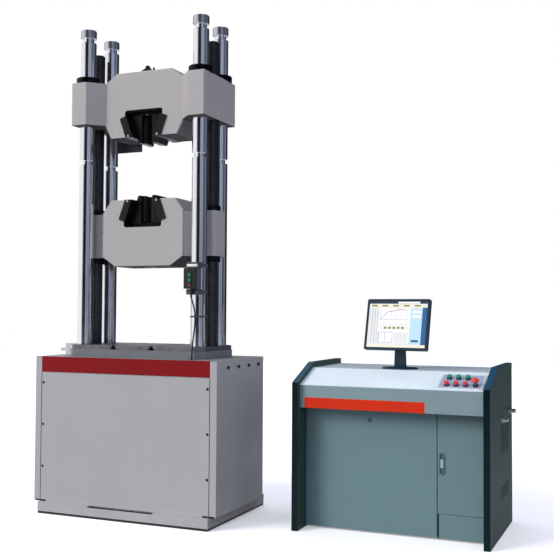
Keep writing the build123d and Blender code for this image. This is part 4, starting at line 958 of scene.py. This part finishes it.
# Brushed and clear anodised: violet-grey with fine lines along the plate, drawn 0.8 mm
# apart, a pale border of 8 mm and dark collars that rise from it.
plate_metal, tree, shader, place = shader_of("button_plate_aluminium", 0.35, 0.3)
risen = off_corner(tree, place, normal)
row = off_corner(tree, place, along, plate_start + plate_half_length)
column = node(tree, "Math", {
    0: node(tree, "SeparateXYZ", {"Vector": place}).outputs["X"], 1: plate_left + plate_half_width,
}, operation="SUBTRACT").outputs[0]
rims = []
for offset, half in ((row, plate_half_length), (column, plate_half_width)):
    off = node(tree, "Math", {0: offset}, operation="ABSOLUTE")
    rims.append(step(tree, off.outputs[0], half - border))
rim = node(tree, "Math", {0: rims[0], 1: rims[1]}, operation="MAXIMUM").outputs[0]
drawn = node(tree, "Mapping", {"Vector": place, "Scale": (0.05, 1.0, 1.0)})
brush = node(tree, "TexNoise", {"Vector": drawn.outputs[0], "Scale": 1 / 0.0008, "Detail": 2.0})
violet = choose(tree, brush.outputs["Fac"], linear("A4ADC4"), linear("B8C1D6"))
sheet_tone = choose(tree, rim, violet, linear("E2E8F0"))
dark = tint(tree, linear("343945"), place, 0.01, 0.15)
coat(tree, shader, choose(tree, step(tree, risen, bezel_foot), sheet_tone, dark))
rough(tree, shader, place, 0.03, 0.3, 0.45)
relief(tree, shader, brush.outputs["Fac"], 0.0001, 0.3)
dress(plate_metal, "button_plate")
green_cap = button_cap("green_button_cap", "269070")
dress(green_cap, "pump_start_button", "load_start_button", "clamp_start_button")
red_cap = button_cap("red_button_cap", "D23C46")
dress(red_cap, "pump_stop_button", "load_stop_button", "clamp_stop_button")

# Emergency stop: a red mushroom of glossy plastic, from 28 mm above the slope, on a
# grey-blue stem.
stop_plastic, tree, shader, place = shader_of("stop_mushroom_plastic", 0.26, 0.0, 1.5)
stem = tint(tree, linear("5E6784"), place, 0.01, 0.1)
cap = tint(tree, linear("D8362F"), place, 0.01, 0.1)
cap_share = step(tree, off_corner(tree, place, normal), cap_foot)
coat(tree, shader, choose(tree, cap_share, stem, cap))
rough(tree, shader, place, 0.008, 0.2, 0.36)
grain(tree, shader, place, 0.002, 0.0002, 0.2)
dress(stop_plastic, "emergency_stop")


# Monitor. A seventeen-inch desktop screen in dark moulded plastic tilts on a stand; it
# shows a generic recording program with a plotted chart.

dress(moulded("monitor_case_abs", "0B2A38", 0.0009, 0.38), "monitor", "monitor_stand")

# Picture: one thin sheet of coloured fields, tilted with the screen. Its own light is
# even, cut by the dark grid between the panel's pixels; the grid is drawn at 2.4 mm, nine
# times the real pitch, so that it shows. A field is its colour, left, bottom, right and
# top in shares of the picture, and its rank in front of the ground.
picture_colour = {
    "title": "1C2A4E", "white": "F2F3F4", "cream": "E9E6CF", "olive": "8B8550", "panel": "DFE1DC",
    "line": "8E949E", "sky": "BBDDEE", "strip": "1F5A8C", "trace": "A85A58", "ink": "5A5F68",
}
fields = [
    ("panel", 0, 0, 1, 1, 0), ("title", 0, 0.95, 1, 1, 1),
    ("white", 0.50, 0.955, 0.87, 0.995, 2), ("cream", 0, 0.865, 0.93, 0.95, 1),
    ("white", 0.17, 0.09, 0.72, 0.855, 1), ("cream", 0.19, 0.39, 0.70, 0.46, 2),
    ("sky", 0.72, 0.07, 0.92, 0.855, 1), ("strip", 0.92, 0.06, 1, 0.865, 1),
    ("cream", 0, 0, 1, 0.06, 1), ("line", 0.20, 0.60, 0.205, 0.84, 2),
    ("line", 0.20, 0.60, 0.68, 0.606, 2), ("line", 0.20, 0.50, 0.68, 0.506, 2),
    ("ink", 0.19, 0.10, 0.20, 0.33, 2), ("line", 0.19, 0.325, 0.44, 0.335, 2),
    ("line", 0.19, 0.10, 0.44, 0.108, 2), ("line", 0.30, 0.10, 0.307, 0.33, 2),
    ("line", 0.43, 0.10, 0.437, 0.33, 2), ("panel", 0.46, 0.10, 0.70, 0.33, 2),
    ("white", 0.76, 0.74, 0.90, 0.80, 2), ("white", 0.76, 0.64, 0.90, 0.70, 2),
    ("strip", 0.76, 0.12, 0.88, 0.17, 2),
]
fields += [("olive", 0.04 + i * 0.185, 0.89, 0.14 + i * 0.185, 0.925, 2) for i in range(5)]
fields += [("line", 0.06 + i * 0.05, 0.10, 0.065 + i * 0.05, 0.84, 2) for i in range(3)]
fields += [("olive", 0.28 + i * 0.075, 0.40, 0.325 + i * 0.075, 0.45, 3) for i in range(5)]
fields += [("line", 0.30 + i * 0.09, 0.60, 0.303 + i * 0.09, 0.84, 2) for i in range(5)]
trace = [(0.21, 0.61), (0.27, 0.70), (0.33, 0.77), (0.36, 0.78),
         (0.42, 0.79), (0.50, 0.82), (0.58, 0.825), (0.64, 0.80)]
trace_half_height, trace_rank = 0.006, 4

half_pixel = 0.0012
lcd, tree, shader, place = shader_of("lcd_picture", 0.3)
shade = node(tree, "Attribute", attribute_name="picture").outputs["Color"]
parts = node(tree, "SeparateXYZ", {"Vector": place})
dots = node(tree, "Math", {0: parts.outputs["X"], 1: half_pixel}, operation="PINGPONG")
lines = node(tree, "Math", {0: parts.outputs["Z"], 1: half_pixel}, operation="PINGPONG")
gap = node(tree, "Math", {0: dots.outputs[0], 1: lines.outputs[0]}, operation="MINIMUM")
pixel = node(tree, "MapRange", {
    "Value": gap.outputs[0], "From Min": 0.0, "From Max": 0.0002, "To Min": 0.82, "To Max": 1.0,
})
lit = node(tree, "HueSaturation", {"Value": pixel.outputs[0], "Color": shade})
coat(tree, shader, lit.outputs[0])
tree.links.new(lit.outputs[0], shader.inputs["Emission Color"])
shader.inputs["Emission Strength"].default_value = 0.08

picture = bmesh.new()
layer = picture.loops.layers.float_color.new("picture")
pivot = Vector((1.352, 0.205, 0.985))
tilt = Matrix.Rotation(radians(-6), 4, "Z") @ Matrix.Rotation(radians(-13), 4, "X")
tilt = Matrix.Translation(pivot) @ tilt @ Matrix.Translation(-pivot)
picture_corner = Vector((1.1945, 0.1537, 0.897))
picture_width, picture_height, layer_gap = 0.315, 0.240, 0.0001


def add_field(colour, corners, rank):
    """Adds a flat field to the picture, over the fields of lower rank."""
    verts = []
    for u, v in corners:
        where = Vector((u * picture_width, -rank * layer_gap, v * picture_height))
        verts.append(picture.verts.new(tilt @ (picture_corner + where)))
    for loop in picture.faces.new(verts).loops:
        loop[layer] = linear(picture_colour[colour])


for colour, left, bottom, right, top, rank in fields:
    add_field(colour, [(left, bottom), (right, bottom), (right, top), (left, top)], rank)
for (u0, v0), (u1, v1) in zip(trace, trace[1:]):
    low = [(u0, v0 - trace_half_height), (u1, v1 - trace_half_height)]
    high = [(u1, v1 + trace_half_height), (u0, v0 + trace_half_height)]
    add_field("trace", low + high, trace_rank)
piece("screen_picture", picture, lcd, "screen_unit")


# Inside the console. A painted oil tank with pump and valve block feeds the machine; its
# two plated hose couplings come out through the right side. A computer stands beside it.

# Tank enamel inside, bright zinc on the couplings beyond x = 1.861.
pack_paint, tree, shader, place = shader_of("tank_enamel_and_zinc", 0.42)
sideways = node(tree, "SeparateXYZ", {"Vector": place}).outputs["X"]
outside = step(tree, sideways, 1.861)
enamel = tint(tree, linear("5E7284"), place, 0.1, 0.05)
plated = tint(tree, linear("C9C9C4"), place, 0.01, 0.1)
coat(tree, shader, choose(tree, outside, enamel, plated))
tree.links.new(outside, shader.inputs["Metallic"])
rough(tree, shader, place, 0.02, 0.28, 0.48)
grain(tree, shader, place, 0.003, 0.0003, 0.3)
dress(pack_paint, "power_pack")
dress(powder_coat("computer_black_coat", "26272A", 0.001, 0.45), "computer")


low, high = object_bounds()
